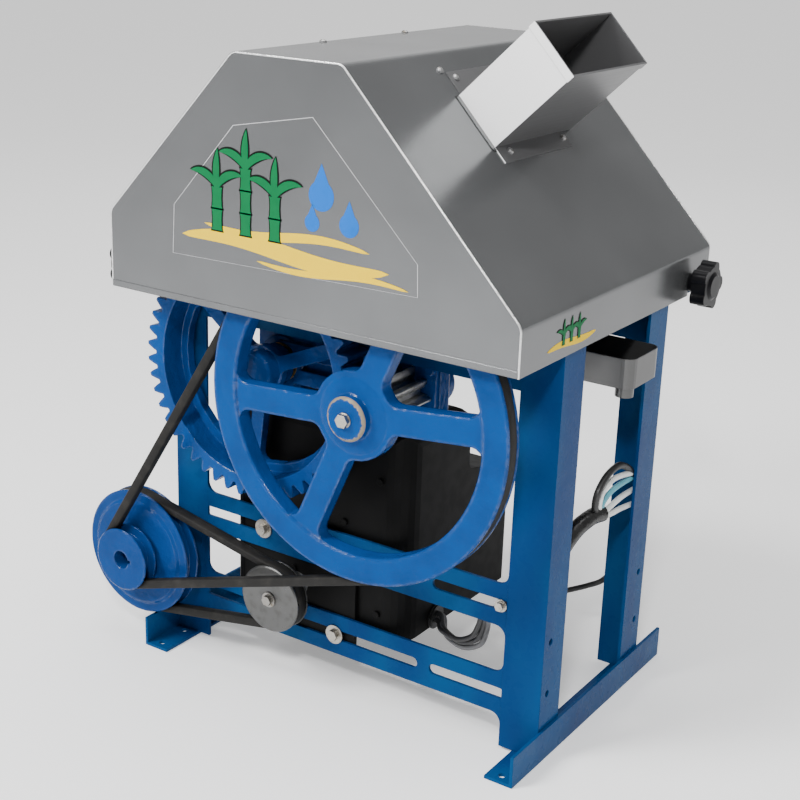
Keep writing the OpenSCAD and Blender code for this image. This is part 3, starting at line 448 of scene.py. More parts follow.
@dataclass(frozen=True)
class ChuteSteel(BrushedSteel):
    """Brushed sheet whose outer wall facing the front is painted near white: a painted reflection."""

    # near white of the painted reflection on the outer front wall
    pale: Colour = (0.98, 0.98, 0.98)
    wall_y: float = -0.0772

    def dress(self, sheet: ShaderSheet) -> None:
        """Paints the outer wall that faces the front near white and less metallic, a painted reflection.

        Args:
            sheet: the material that it is added to.
        """
        super().dress(sheet)
        brushed = sheet.shader.inputs["Base Color"].links[0].from_socket
        # painted reflection: faces of the outer wall that face the front get the pale colour and less metal
        facing = sheet.span(sheet.part_of("Normal", "Y"), -0.98, -0.9, 1.0, 0.0)
        outer = sheet.span(sheet.part_of("Object", "Y"), self.wall_y, self.wall_y + 0.0006, 1.0, 0.0)
        front = sheet.sum(facing, outer, Operation.TIMES)
        sheet.feed(sheet.mix(front, brushed, self.pale), "Base Color")
        sheet.feed(sheet.span(front, 0.0, 1.0, self.metal, 0.1), "Metallic")


@dataclass(frozen=True)
class TurnedMetal(Finish):
    """Lathe-turned metal with rings round its own axis."""

    axis: Flat = (0.0, 0.0)
    rings: float = 900.0
    oil: Colour = (0.05, 0.045, 0.04)

    def dress(self, sheet: ShaderSheet) -> None:
        """Adds turning rings and oily dirt.

        Args:
            sheet: the material that they are added to.
        """
        away = sheet.sum(sheet.axis_distance(*self.axis), self.rings * math.tau, Operation.TIMES)
        ring = sheet.sum(away, 0.0, Operation.SINE)
        dirt = sheet.noise(95.0, 4.0, shift=4.0)
        sheet.feed(sheet.mix(sheet.span(dirt, 0.50, 0.75, 0.0, 0.25), self.colour, self.oil), "Base Color")
        sheet.set(Metallic=1.0)
        sheet.feed(sheet.span(dirt, 0.3, 0.7, self.roughness * 0.8, self.roughness * 1.4), "Roughness")
        sheet.relief([(ring, 0.00003), (dirt, 0.0002)], self.edge)


@dataclass(frozen=True)
class PlainMetal(Finish):
    """Bare or plated steel with stains."""

    stain: Colour = (0.16, 0.12, 0.07)
    stained: float = 0.62

    def dress(self, sheet: ShaderSheet) -> None:
        """Adds stains and a fine grain.

        Args:
            sheet: the material that they are added to.
        """
        stain = sheet.noise(150.0, 4.0, shift=3.0)
        grain = sheet.noise(700.0, 2.0)
        spots = sheet.span(stain, self.stained - 0.08, self.stained + 0.1, 0.0, 0.8)
        sheet.feed(sheet.mix(spots, self.colour, self.stain), "Base Color")
        sheet.set(Metallic=1.0)
        sheet.feed(sheet.span(grain, 0.3, 0.7, self.roughness * 0.8, self.roughness * 1.3), "Roughness")
        sheet.relief([(grain, 0.00008), (stain, 0.0002)], self.edge)


@dataclass(frozen=True)
class Moulded(Finish):
    """Moulded plastic or rubber with a fine grain and a little dust."""

    dust: Colour = (0.08, 0.08, 0.08)
    grain: float = 900.0
    grain_depth: float = 0.00006
    shine: float = 0.5

    def dress(self, sheet: ShaderSheet) -> None:
        """Adds grain and dust.

        Args:
            sheet: the material that they are added to.
        """
        sheet.set(Specular_IOR_Level=self.shine)
        grain = sheet.noise(self.grain, 2.0)
        dust = sheet.noise(60.0, 5.0, shift=7.0)
        sheet.feed(sheet.mix(sheet.span(dust, 0.45, 0.75, 0.0, 0.6), self.colour, self.dust), "Base Color")
        sheet.feed(sheet.span(dust, 0.35, 0.7, self.roughness * 0.95, self.roughness * 1.1), "Roughness")
        sheet.relief([(grain, self.grain_depth)], self.edge)


def film_finish(name: str, colour: Colour, dust: Colour) -> Moulded:
    """Gives the matt finish of a printed film.

    Args:
        name: the finish's name.
        colour: the ink's colour.
        dust: its dusty colour.

    Returns:
        The finish.
    """
    return Moulded(name, "cable_grey", colour, 0.5, 0.0001, dust, grain_depth=0.0, shine=0.1)


BLUE_SHEET = SheetEnamel("enamel_blue_sheet", "blue_frame", (0.002, 0.052, 0.16), 0.28, 0.0012)
BLUE_CAST = CastEnamel("enamel_blue_cast", "blue_casting", (0.002, 0.040, 0.175), 0.18, 0.0028)
BLUE_GEAR = CastEnamel(
    "enamel_blue_gear", "blue_casting", (0.002, 0.050, 0.21), 0.18, 0.0030,
    lumps=95.0, depth=0.0013, chips=1.0,
)
BLUE_WHEEL = WheelEnamel(
    "enamel_blue_wheel", "blue_casting", (0.0010, 0.048, 0.205), 0.16, 0.0045,
    lumps=60.0, depth=0.0012, chips=0.90,
)
HOOD_STEEL = BrushedSteel(
    "steel_hood", "stainless_sheet", (0.148, 0.152, 0.156), 0.24, 0.0012,
    lines=(4.0, 4.0, 700.0), line_depth=0.0000012, metal=0.68, streak=0.12,
)
TRAY_STEEL = BrushedSteel(
    "steel_tray", "stainless_sheet", (0.10, 0.10, 0.10), 0.30, 0.0012,
    lines=(4.0, 4.0, 300.0), line_depth=0.000008, metal=0.6,
)
CHUTE_STEEL = ChuteSteel(
    "steel_chute", "stainless_sheet", (0.125, 0.125, 0.128), 0.38, 0.0008, metal=0.4, streak=0.12
)
SEAM_STEEL = PlainMetal(
    "steel_seam", "stainless_sheet", (0.82, 0.82, 0.82), 0.28, 0.0003,
    stain=(0.45, 0.43, 0.40), stained=0.7,
)
ZINC = PlainMetal("zinc_bolts", "zinc_bolt", (0.42, 0.40, 0.36), 0.32, 0.0007)
SCREW = PlainMetal("steel_screws", "small_screw", (0.52, 0.52, 0.52), 0.35, 0.0004)
GEAR_STEEL = PlainMetal(
    "steel_gears", "gear_steel", (0.50, 0.50, 0.485), 0.38, 0.0008,
    stain=(0.33, 0.31, 0.28), stained=0.60,
)
SHAFT_STEEL = PlainMetal("steel_shafts", "shaft_steel", (0.28, 0.27, 0.25), 0.34, 0.0008)
ROLLER_STEEL = PlainMetal("steel_rollers", "roller_steel", (0.60, 0.61, 0.62), 0.30, 0.0010)
BRONZE = PlainMetal("bronze_bushes", "bronze_bush", (0.50, 0.33, 0.13), 0.36, 0.0006)
PULLEY_IRON = TurnedMetal(
    "iron_pulley", "pulley_iron", (0.11, 0.11, 0.108), 0.34, 0.0010, axis=(-0.082, 0.128)
)
COVER_BLACK = Moulded(
    "black_cover_paint", "black_cover", (0.004, 0.004, 0.004), 0.50, 0.0012,
    dust=(0.005, 0.005, 0.005), grain=420.0, grain_depth=0.00005, shine=0.08,
)
MOTOR_GREY = Moulded("motor_paint", "motor_grey", (0.06, 0.065, 0.07), 0.42, 0.0010)
KNOB_BLACK = Moulded(
    "knob_black", "black_knob", (0.004, 0.004, 0.005), 0.30, 0.0014,
    dust=(0.009, 0.009, 0.010), shine=0.15,
)
BELT_RUBBER = Moulded(
    "belt_rubber", "belt_rubber", (0.013, 0.0125, 0.0118), 0.60, 0.0006,
    dust=(0.032, 0.030, 0.027), grain=1400.0, grain_depth=0.0002, shine=0.15,
)
CABLE_BLACK = Moulded("cable_black", "cable_black", (0.010, 0.010, 0.010), 0.40, 0.0003, (0.04, 0.04, 0.04))
TAPE_BLACK = Moulded(
    "tape_black", "cable_black", (0.006, 0.006, 0.006), 0.26, 0.0003,
    dust=(0.02, 0.02, 0.02), grain=150.0, grain_depth=0.0012,
)
CABLE_DARK = Moulded("cable_dark", "cable_grey", (0.040, 0.040, 0.042), 0.30, 0.0003, (0.025, 0.025, 0.025))
CABLE_GREY = Moulded("cable_grey", "cable_grey", (0.16, 0.16, 0.165), 0.34, 0.0003, (0.10, 0.10, 0.10))
CABLE_WHITE = Moulded("cable_white", "cable_grey", (0.74, 0.76, 0.74), 0.36, 0.0003, (0.50, 0.52, 0.50))
CABLE_BLUE = Moulded("cable_blue", "cable_grey", (0.10, 0.36, 0.44), 0.36, 0.0003, (0.08, 0.26, 0.32))
# flat black for the painted shadow round the chute's lip
SHADOW_BLACK = Moulded(
    "painted_shadow_black", "stainless_sheet", (0.004, 0.004, 0.004), 0.5, 0.0001, dust=(0.006, 0.006, 0.006)
)
FILM_EDGE = Moulded("film_edge", "cable_grey", (0.46, 0.46, 0.47), 0.30, 0.0001, (0.40, 0.40, 0.41))
FILM_YELLOW = film_finish("film_yellow", (0.80, 0.53, 0.0), (0.76, 0.50, 0.0))
FILM_GREEN = film_finish("film_green", (0.0, 0.13, 0.040), (0.0, 0.11, 0.035))
FILM_DARK = film_finish("film_dark", (0.003, 0.006, 0.004), (0.003, 0.005, 0.004))
FILM_BLUE = film_finish("film_blue", (0.0, 0.12, 0.50), (0.0, 0.10, 0.44))

NODE_FINISHES: dict[Finish, tuple[str, ...]] = {
    BLUE_SHEET: (
        "left_foot_rail", "right_foot_rail", "front_left_leg", "front_right_leg", "rear_left_leg",
        "rear_right_leg", "upper_slotted_rail", "lower_slotted_rail", "front_top_rail", "rear_top_rail",
        "left_side_rail", "right_side_rail", "axle_bracket",
    ),
    BLUE_CAST: (
        "front_cheek", "rear_cheek", "drive_bracket", "rear_bracket", "drive_housing", "step_pulley",
    ),
    BLUE_GEAR: ("bull_gear",),
    BLUE_WHEEL: ("flywheel",),
    HOOD_STEEL: ("hood_shell", "hood_clips"),
    TRAY_STEEL: ("juice_tray",),
    CHUTE_STEEL: ("feed_chute",),
    ZINC: ("rail_bolts", "cheek_bolts", "tie_rods", "hub_bolt", "pressure_screws"),
    SCREW: ("chute_rivets", "ridge_screws"),
    GEAR_STEEL: (
        "drive_pinion", "transfer_pinion", "top_roller_gear", "feed_roller_gear",
        "discharge_roller_gear", "transfer_gear",
    ),
    SHAFT_STEEL: ("flywheel_shaft", "bull_shaft", "stub_axle", "motor_shaft"),
    ROLLER_STEEL: ("top_roller", "feed_roller", "discharge_roller", "trash_plate"),
    BRONZE: ("shaft_bushes",),
    PULLEY_IRON: ("motor_pulley",),
    COVER_BLACK: ("motor_cover", "motor_plate", "cover_screws"),
    MOTOR_GREY: ("motor_body",),
    KNOB_BLACK: ("left_knob", "right_knob"),
    CABLE_BLACK: ("lead_grommet",),
}


def place(piece: bpy.types.Object, body: Body, finish: Finish) -> bpy.types.Object:
    """Dresses a new piece and fixes it to its body.

    Args:
        piece: the piece.
        body: the body that it moves with.
        finish: its finish.

    Returns:
        The piece.
    """
    piece.data.materials.clear()
    piece.data.materials.append(finish.material())
    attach(piece, body.value)
    log.info("%s rides on %s", piece.name, body.value)
    return piece


def mesh_piece(
    name: str, points: Sequence[Point], faces: Sequence[Sequence[int]], smooth: bool = False
) -> bpy.types.Object:
    """Makes a mesh object from points in millimetres.

    Args:
        name: the piece's name.
        points: its corners.
        faces: its faces.
        smooth: whether the faces are shaded smooth.

    Returns:
        The new object.
    """
    mesh = bpy.data.meshes.new(name)
    mesh.from_pydata([tuple(c * MM for c in p) for p in points], [], [tuple(f) for f in faces])
    mesh.validate()
    mesh.polygons.foreach_set("use_smooth", [smooth] * len(mesh.polygons))
    return show(name, mesh)


def curve_piece(name: str, route: Sequence[Point], radius: float, sides: int = 6) -> bpy.types.Object:
    """Makes a round tube along a route in millimetres.

    Args:
        name: the piece's name.
        route: the points of its middle line.
        radius: the tube's radius.
        sides: how finely the tube is rounded.

    Returns:
        The new curve object.
    """
    curve = bpy.data.curves.new(name, "CURVE")
    curve.dimensions = "3D"
    curve.bevel_depth = radius * MM
    curve.bevel_resolution = sides
    curve.use_fill_caps = True
    spline = curve.splines.new("POLY")
    spline.points.add(len(route) - 1)
    for knot, p in zip(spline.points, route):
        knot.co = (p[0] * MM, p[1] * MM, p[2] * MM, 1.0)
    return show(name, curve)


def smooth_route(route: Sequence[Point], steps: int = 6) -> list[Point]:
    """Runs a smooth Catmull-Rom line through a route's points.

    Args:
        route: the chosen points.
        steps: points in each stretch.

    Returns:
        The finer route.
    """
    last = len(route) - 1
    out: list[Point] = []
    for i in range(last):
        a, b, c, d = (Vector(route[j]) for j in (max(i - 1, 0), i, i + 1, min(i + 2, last)))
        for k in range(steps):
            t = k / steps
            square, cube = 2 * a - 5 * b + 4 * c - d, 3 * b - a - 3 * c + d
            out.append(tuple(0.5 * (2 * b + (c - a) * t + square * t**2 + cube * t**3)))
    out.append(tuple(route[last]))
    return out


def corner(a: Flat, b: Flat, c: Flat, radius: float, steps: int = 5) -> list[Flat]:
    """Rounds the corner b of an outline.

    Args:
        a: the point before the corner.
        b: the corner.
        c: the point after it.
        radius: the bend's radius.
        steps: how many stretches the bend has.

    Returns:
        The bend's points.
    """
    u = (Vector(a) - Vector(b)).normalized()
    v = (Vector(c) - Vector(b)).normalized()
    half = u.angle(v) / 2
    centre = Vector(b) + (u + v).normalized() * (radius / math.sin(half))
    start = Vector(b) + u * (radius / math.tan(half)) - centre
    end = Vector(b) + v * (radius / math.tan(half)) - centre
    first = math.atan2(start.y, start.x)
    turn = (math.atan2(end.y, end.x) - first + math.pi) % (2 * math.pi) - math.pi
    angles = [first + turn * i / steps for i in range(steps + 1)]
    return [(centre.x + radius * math.cos(t), centre.y + radius * math.sin(t)) for t in angles]


@dataclass(frozen=True)
class Softbox:
    """A square soft light with its place, target, width in metres and power in watts."""

    name: str
    spot: Point
    target: Point
    size: float
    power: float

    def hang(self) -> None:
        """Hangs the light."""
        data = bpy.data.lights.new(self.name, "AREA")
        data.shape = "SQUARE"
        data.size = self.size
        data.energy = self.power
        light = show(self.name, data)
        light.location = self.spot
        way = Vector(self.target) - Vector(self.spot)
        light.rotation_euler = way.to_track_quat("-Z", "Y").to_euler()


@dataclass
class Studio:
    """Camera, pale floor and soft lights."""

    azimuth: float = 33.21
    elevation: float = 19.27
    roll: float = 2.01
    lens: float = 67.28
    sensor: float = 36.0
    camera_place: Point = (0.9896, -1.5403, 1.0031)
    softboxes: tuple[Softbox, ...] = (
        Softbox("key_light", (-1.3, -2.3, 2.3), (-0.05, 0.0, 0.5), 0.9, 84.0),
        Softbox("top_bank", (0.3, 0.2, 3.2), (0.1, 0.0, 0.5), 2.6, 60.0),
        Softbox("rear_bank", (-1.5, 2.8, 2.0), (0.0, 0.0, 0.8), 1.9, 6.5),
        Softbox("glint_light", (1.05, -2.0, 2.1), (0.0, -0.1, 0.45), 0.22, 42.0),
    )
    sun_way: Point = (-0.35, -0.45, 0.82)
    sun_strength: float = 1.5
    sun_spread: float = 14.0
    floor_half: float = 40.0
    floor_drop: float = 0.0004
    floor_colour: Colour = (0.88, 0.88, 0.88)
    floor_glow: float = 0.30
    sky: float = 0.45

    def build_camera(self) -> None:
        """Puts the camera where the photograph was taken."""
        az, el, roll = (math.radians(a) for a in (self.azimuth, self.elevation, self.roll))
        back = Vector((math.sin(az) * math.cos(el), -math.cos(az) * math.cos(el), math.sin(el)))
        level = Vector((math.cos(az), math.sin(az), 0.0))
        over = back.cross(level)
        right = level * math.cos(roll) + over * math.sin(roll)
        up = over * math.cos(roll) - level * math.sin(roll)
        data = bpy.data.cameras.new("photo_camera")
        data.lens = self.lens
        data.sensor_width = self.sensor
        camera = show("photo_camera", data)
        turn = Matrix((right, up, back)).transposed()
        camera.matrix_world = Matrix.Translation(self.camera_place) @ turn.to_4x4()
        bpy.context.scene.camera = camera

    def build_floor(self) -> None:
        """Lays the pale floor."""
        half, low = self.floor_half / MM, -self.floor_drop / MM
        corners = [(-half, -half, low), (half, -half, low), (half, half, low), (-half, half, low)]
        floor = mesh_piece("pale_floor", corners, [(0, 1, 2, 3)])
        paper = ShaderSheet("floor_paper")
        paper.set(
            Base_Color=(*self.floor_colour, 1.0), Roughness=0.9, Specular_IOR_Level=0.1,
            Emission_Color=(1.0, 1.0, 1.0, 1.0), Emission_Strength=self.floor_glow,
        )
        floor.data.materials.append(paper.material)

    def build_lights(self) -> None:
        """Hangs the soft lights and sets the surrounding light."""
        for box in self.softboxes:
            box.hang()
        data = bpy.data.lights.new("broad_light", "SUN")
        data.energy = self.sun_strength
        data.angle = math.radians(self.sun_spread)
        sun = show("broad_light", data)
        sun.rotation_euler = Vector(self.sun_way).to_track_quat("Z", "Y").to_euler()
        world = bpy.context.scene.world or bpy.data.worlds.new("studio")
        bpy.context.scene.world = world
        world.use_nodes = True
        sky = next(n for n in world.node_tree.nodes if n.type == "BACKGROUND")
        sky.inputs["Color"].default_value = (1.0, 1.0, 1.0, 1.0)
        sky.inputs["Strength"].default_value = self.sky


@dataclass
class Lead:
    """One round lead with its route in millimetres."""

    name: str
    radius: float
    finish: Finish
    route: list[Point]
    far_end: FarEnd = FarEnd.OBJECT
    stiffness: str = "limp"

    def build(self) -> bpy.types.Object:
        """Returns:
            The lead's curve.
        """
        route = smooth_route(self.route)
        piece = place(curve_piece(self.name, route, self.radius), Body.STAND, self.finish)
        return piece


@dataclass
class Wiring:
    """Loom, taped splice with its lead ends, and the black cord."""

    loom: list[Lead] = field(default_factory=lambda: [
        Lead("loom_lead_a", 3.6, CABLE_DARK, [
            (85, -51, 103), (92, -52.5, 101), (100, -58, 88), (126, -60, 79), (150, -61, 90),
            (161, -65, 112), (168, -74, 130), (179, -88, 146)]),
        Lead("loom_lead_b", 3.6, CABLE_GREY, [
            (85, -44, 98), (92, -45.5, 95), (101, -54, 78), (128, -56, 70), (154, -57, 83),
            (165, -62, 108), (171, -70, 127), (182, -86, 143)]),
        Lead("loom_lead_c", 3.6, CABLE_DARK, [
            (85, -56, 96), (92, -57.5, 94), (99, -63, 88), (124, -65, 84), (146, -66, 96),
            (157, -70, 116), (165, -79, 132), (177, -90, 143)]),
    ])
    splice: list[Lead] = field(default_factory=lambda: [
        Lead("splice_trunk", 10.5, TAPE_BLACK, [
            (182.5, -91.5, 149.5), (208, -90, 158), (234, -80, 184), (248, -54, 226), (256, -22, 256),
            (263, 6, 267), (268, 28, 267)]),
        Lead("splice_lead_a", 3.6, CABLE_WHITE, [
            (268, 22, 268), (269, 16, 284), (270, 24, 300), (272, 44, 308), (275, 70, 307),
            (276, 94, 302)], FarEnd.BARE),
        Lead("splice_lead_b", 3.6, CABLE_BLUE, [
            (268, 24, 268), (269, 26, 282), (271, 44, 292), (274, 70, 296), (276, 95, 296)], FarEnd.BARE),
        Lead("splice_lead_c", 3.6, CABLE_WHITE, [
            (268, 22, 266), (270, 44, 270), (273, 70, 276), (276, 98, 278)], FarEnd.BARE),
        Lead("splice_lead_d", 4.5, CABLE_BLACK, [
            (266, 16, 268), (268, 6, 284), (270, 8, 303), (271, 28, 318), (272, 58, 322), (275, 82, 311),
            (276, 96, 294)], FarEnd.BARE),
        Lead("splice_lead_e", 3.6, CABLE_WHITE, [
            (268, 22, 264), (270, 44, 260), (273, 70, 260), (276, 98, 258)], FarEnd.BARE),
    ])
    cord: Lead = field(default_factory=lambda: Lead("supply_cord", 3.8, CABLE_BLACK, [
        (-38.4, 90, 104.2), (-12, 103, 84), (28, 118, 66), (68, 132, 59), (100, 140, 60), (135, 142, 67),
        (175.4, 142, 87.7), (205, 142, 104), (226, 142, 119), (246, 141, 150), (256, 140.2, 190),
        (258, 140, 240), (258, 140, 300)], FarEnd.BARE))

    def build(self) -> None:
        """Makes every lead in place of its plain solid."""
        groups = ((self.loom, "lead_loom"), (self.splice, "splice_leads"), ([self.cord], "black_cord"))
        for leads, node in groups:
            for lead in leads:
                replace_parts(lead.build(), node)


@dataclass
class Belt:
    """A wedge belt round two pulleys, each given by X, Z and radius, in millimetres."""

    name: str
    node: str
    plane_y: float
    first: Point
    second: Point
    width: float = 16.0
    depth: float = 10.5
    sunk: float = 0.8
    arc_steps: int = 90

    def line(self) -> list[tuple[Vector, Vector]]:
        """Works out the belt's outer line.

        Returns:
            Points with their outward directions, in the X Z plane.
        """
        c1, c2 = Vector(self.first[:2]), Vector(self.second[:2])
        r1, r2 = self.first[2] - self.sunk, self.second[2] - self.sunk
        along = math.atan2(c2.y - c1.y, c2.x - c1.x)
        open_angle = math.acos((r1 - r2) / (c2 - c1).length)
        out: list[tuple[Vector, Vector]] = []
        for centre, radius, start, sweep in (
            (c1, r1, along + open_angle, 2 * math.pi - 2 * open_angle),
            (c2, r2, along - open_angle, 2 * open_angle),
        ):
            for i in range(self.arc_steps + 1):
                t = start + sweep * i / self.arc_steps
                way = Vector((math.cos(t), math.sin(t)))
                out.append((centre + way * radius, way))
        return out

    def section(self) -> list[Flat]:
        """Works out the wedge section with its small round corners.

        Returns:
            Its points, sideways and outward from the belt's outer line.
        """
        w, d = self.width / 2, self.depth
        half = [(w - 0.8, 0), (w, -0.8), (w - 0.1, -2.2), (w - 2.0, -d + 0.6), (w - 2.8, -d)]
        return [(-half[0][0], 0), *half, *((-side, inward) for side, inward in half[:0:-1])]

    def build(self) -> None:
        """Makes the belt in place of its plain solid."""
        line, section = self.line(), self.section()
        count, sides = len(line), len(section)
        points = [
            (p.x + way.x * inward, self.plane_y + side, p.y + way.y * inward)
            for p, way in line for side, inward in section
        ]
        faces = [
            (i * sides + k, i * sides + (k + 1) % sides, (i + 1) % count * sides + (k + 1) % sides,
             (i + 1) % count * sides + k)
            for i in range(count) for k in range(sides)
        ]
        piece = place(mesh_piece(self.name, points, faces, True), Body.STAND, BELT_RUBBER)
        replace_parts(piece, self.node)


@dataclass
class HoodShape:
    """Sizes of the hood's box, in millimetres."""

    half_width: float = 287.5
    half_depth: float = 245.0


@dataclass
class HoodTrim(HoodShape):
    """Welded seams and hems of the hood."""

    bottom: float = 516.4
    left_skirt: float = 95.0
    right_skirt: float = 55.0
    height: float = 300.0
    flat_top: Flat = (-96.0, 54.0)
    bend: float = 14.0
    seam_radius: float = 1.1
    seam_inset: float = 0.4
    hem_height: float = 9.0
    hem_short: float = 1.5
    hem_clear: float = 0.2
    hem_out: float = 0.9
    hem_sunk: float = 0.6

    def outline(self) -> list[Flat]:
        """Works out the hood's outline from the left skirt's foot over the top to the right one.

        Returns:
            Its points, X and Z.
        """
        x, z0, z1 = self.half_width, self.bottom, self.bottom + self.height
        p = [(-x, z0), (-x, z0 + self.left_skirt), (self.flat_top[0], z1), (self.flat_top[1], z1),
             (x, z0 + self.right_skirt), (x, z0)]
        bends = [q for i in range(1, 5) for q in corner(p[i - 1], p[i], p[i + 1], self.bend)]
        return [p[0], *bends, p[-1]]

    def seam(self, name: str, y: float) -> None:
        """Runs a ground weld seam round one end sheet.

        Args:
            name: the piece's name.
            y: the seam's place from front to rear.
        """
        inset = self.seam_radius * 0.75
        middle = Vector((0.0, self.bottom + self.height * 0.4))
        route = [Vector(p) + (middle - Vector(p)).normalized() * inset for p in self.outline()]
        seam = curve_piece(name, [(p.x, y, p.y) for p in route], self.seam_radius, 3)
        place(seam, Body.HOOD, SEAM_STEEL)

    def hem(self, name: str, side: float) -> None:
        """Folds a hem along the foot of one end sheet.

        Args:
            name: the piece's name.
            side: -1 at the front and 1 at the rear.
        """
        x = self.half_width - self.hem_short
        low, high = self.bottom + self.hem_clear, self.bottom + self.hem_height
        out, back = side * (self.half_depth + self.hem_out), side * (self.half_depth - self.hem_sunk)
        rows = [(back, low), (out, low + 0.5), (out, high - 0.9), (back, high)]
        points = [(sx * x, y, z) for sx in (-1, 1) for y, z in rows]
        faces = [(k, k + 1, k + 5, k + 4) for k in range(3)] + [(0, 1, 2, 3), (7, 6, 5, 4)]
        place(mesh_piece(name, points, faces), Body.HOOD, HOOD_STEEL)

    def build(self) -> None:
        """Makes the seams and hems."""
        self.seam("front_seam", -self.half_depth + self.seam_inset)
        self.seam("rear_seam", self.half_depth - self.seam_inset)
        self.hem("front_hem", -1.0)
        self.hem("rear_hem", 1.0)


@dataclass
class HoodFilms(HoodShape):
    """A plain cane motif printed on films, with a clear film's edge round it.

    A band is given by its left end, right end, Z, height and swing, a cane by its place and
    number of joints, and a drop by its tip's place, Z and size.
    """

    thickness: float = 0.25
    edge_width: float = 0.9
    bands: tuple[tuple[float, ...], ...] = (
        (-172, 122, 600, 21, 6), (-138, 96, 618, 11, -5), (-60, 148, 585, 8, -4))
    canes: tuple[tuple[float, int], ...] = ((-118, 2), (-76, 3), (-34, 2))
    cane_foot: float = 612
    cane_size: float = 26.0
    drops: tuple[Point, ...] = ((30, 708, 17), (68, 672, 13), (18, 662, 10))
    skirt_band: tuple[float, ...] = (-186, -72, 531, 9, 2)
    skirt_canes: tuple[float, ...] = (-150, -132, -114)
    skirt_foot: float = 532
    skirt_size: float = 11.0
    clear_film: tuple[Flat, ...] = (
        (-187.3, 573.9), (-184.4, 632.8), (-94.4, 735.3), (17.1, 756.6), (158.3, 616.9), (159.9, 581.0))
    leaf_bends: tuple[Flat, ...] = ((122, 78), (96, -16), (62, -82))

    def film(
        self, name: str, outline: Sequence[Flat], finish: Finish, lift: float = 1.0, side: bool = False
    ) -> None:
        """Sticks a flat film on the front sheet or on the right skirt.

        Args:
            name: the piece's name.
            outline: its corners, level place and Z.
            finish: its colour.
            lift: how many film thicknesses it stands off the sheet.
            side: whether it sticks on the right skirt.
        """
        off = self.thickness * lift
        if side:
            points = [(self.half_width + off, u, z) for u, z in outline]
        else:
            points = [(u, -self.half_depth - off, z) for u, z in outline]
        place(mesh_piece(name, points, [tuple(range(len(points)))]), Body.HOOD, finish)

    def film_edge(self, name: str, outline: Sequence[Flat], width: float) -> None:
        """Draws the light edge of a clear film on the front sheet.

        Args:
            name: the piece's name.
            outline: the film's corners, X and Z.
            width: how wide the edge looks.
        """
        middle = sum((Vector(p) for p in outline), Vector((0.0, 0.0))) / len(outline)
        y = -self.half_depth - self.thickness * 0.6
        rings = [
            [Vector(p) - (Vector(p) - middle).normalized() * inset for p in outline]
            for inset in (0.0, width)
        ]
        count = len(outline)
        points = [(p.x, y, p.y) for ring in rings for p in ring]
        faces = [(k, (k + 1) % count, (k + 1) % count + count, k + count) for k in range(count)]
        place(mesh_piece(name, points, faces), Body.HOOD, FILM_EDGE)

    @staticmethod
    def leaf(foot: Flat, length: float, width: float, lean: float, curl: float) -> list[Flat]:
        """Draws a long cane leaf.

        Args:
            foot: where the leaf starts.
            length: its length.
            width: its greatest width.
            lean: its direction at the foot, in degrees.
            curl: how far its tip turns, in degrees.

        Returns:
            The leaf's outline.
        """
        spine, x, z = [], foot[0], foot[1]
        steps = 14
        for i in range(steps + 1):
            t = i / steps
            a = math.radians(lean + curl * t)
            spine.append((x, z, a, width / 2 * math.sin(math.pi * min(1.0, 0.12 + 0.88 * t)) ** 0.8))
            x += math.cos(a) * length / steps
            z += math.sin(a) * length / steps
        left = [(px - math.sin(a) * w, pz + math.cos(a) * w) for px, pz, a, w in spine]
        right = [(px + math.sin(a) * w, pz - math.cos(a) * w) for px, pz, a, w in spine]
        return left + right[::-1]

    @staticmethod
    def stalk_joint(foot: Flat, height: float, width: float) -> list[Flat]:
        """Draws one joint of a cane stalk, slightly waisted.

        Args:
            foot: the middle of its lower end.
            height: its height.
            width: its width at the ends.

        Returns:
            The joint's outline.
        """
        x, z = foot
        w = width / 2
        rise = [(w, 0), (w * 0.86, 0.12), (w * 0.80, 0.5), (w * 0.86, 0.88), (w, 1)]
        right = [(x + a, z + height * b) for a, b in rise]
        return right + [(x - a, z + height * b) for a, b in rise[::-1]]

    @staticmethod
    def wave_band(left: float, right: float, z: float, height: float, swing: float) -> list[Flat]:
        """Draws a level band with wavy edges that thins out at both ends.

        Args:
            left: its left end.
            right: its right end.
            z: its level.
            height: its greatest height.
            swing: how far its middle line waves.

        Returns:
            The band's outline.
        """
        steps = 28
        top, low = [], []
        for i in range(steps + 1):
            t = i / steps
            x = left + (right - left) * t
            middle = z + swing * math.sin(t * 2 * math.pi)
            half = height / 2 * math.sin(math.pi * t) ** 0.5
            top.append((x, middle + half))
            low.append((x, middle - half))
        return top + low[::-1][1:-1]

    def cane(self, name: str, foot: Flat, joints: int, size: float, side: bool = False) -> None:
        """Draws one cane plant of joints and leaves, each on a darker one that edges it.

        Args:
            name: the start of its pieces' names.
            foot: where its stalk stands.
            joints: how many joints the stalk has.
            size: height of a joint.
            side: whether it is on the right skirt.
        """
        x, z = foot
        tip = (x, z + size * joints - size * 0.1)
        for edge, finish, lift in ((size * 0.07, FILM_DARK, 2.0), (0.0, FILM_GREEN, 3.0)):
            tag = "edge" if edge else "fill"
            for j in range(joints):
                stand = (x, z + size * j - edge)
                shape = self.stalk_joint(stand, size * 0.93 + 2 * edge, size * 0.62 + 2 * edge)
                self.film(f"{name}_joint_{j}_{tag}", shape, finish, lift, side)
            for k, (lean, curl) in enumerate(self.leaf_bends):
                shape = self.leaf(tip, size * 1.75 + edge, size * 0.36 + 2 * edge, lean, curl)
                self.film(f"{name}_leaf_{k}_{tag}", shape, finish, lift + 0.1 * (k + 1), side)

    def drop(self, name: str, tip: Flat, size: float) -> None:
        """Draws a juice drop.

        Args:
            name: the piece's name.
            tip: the place of its tip.
            size: radius of its round end.
        """
        shape = [tip]
        for a in range(35, 326, 10):
            t = math.radians(90 - a)
            shape.append((tip[0] + size * math.cos(t), tip[1] - 2.1 * size + size * math.sin(t)))
        self.film(name, shape, FILM_BLUE)

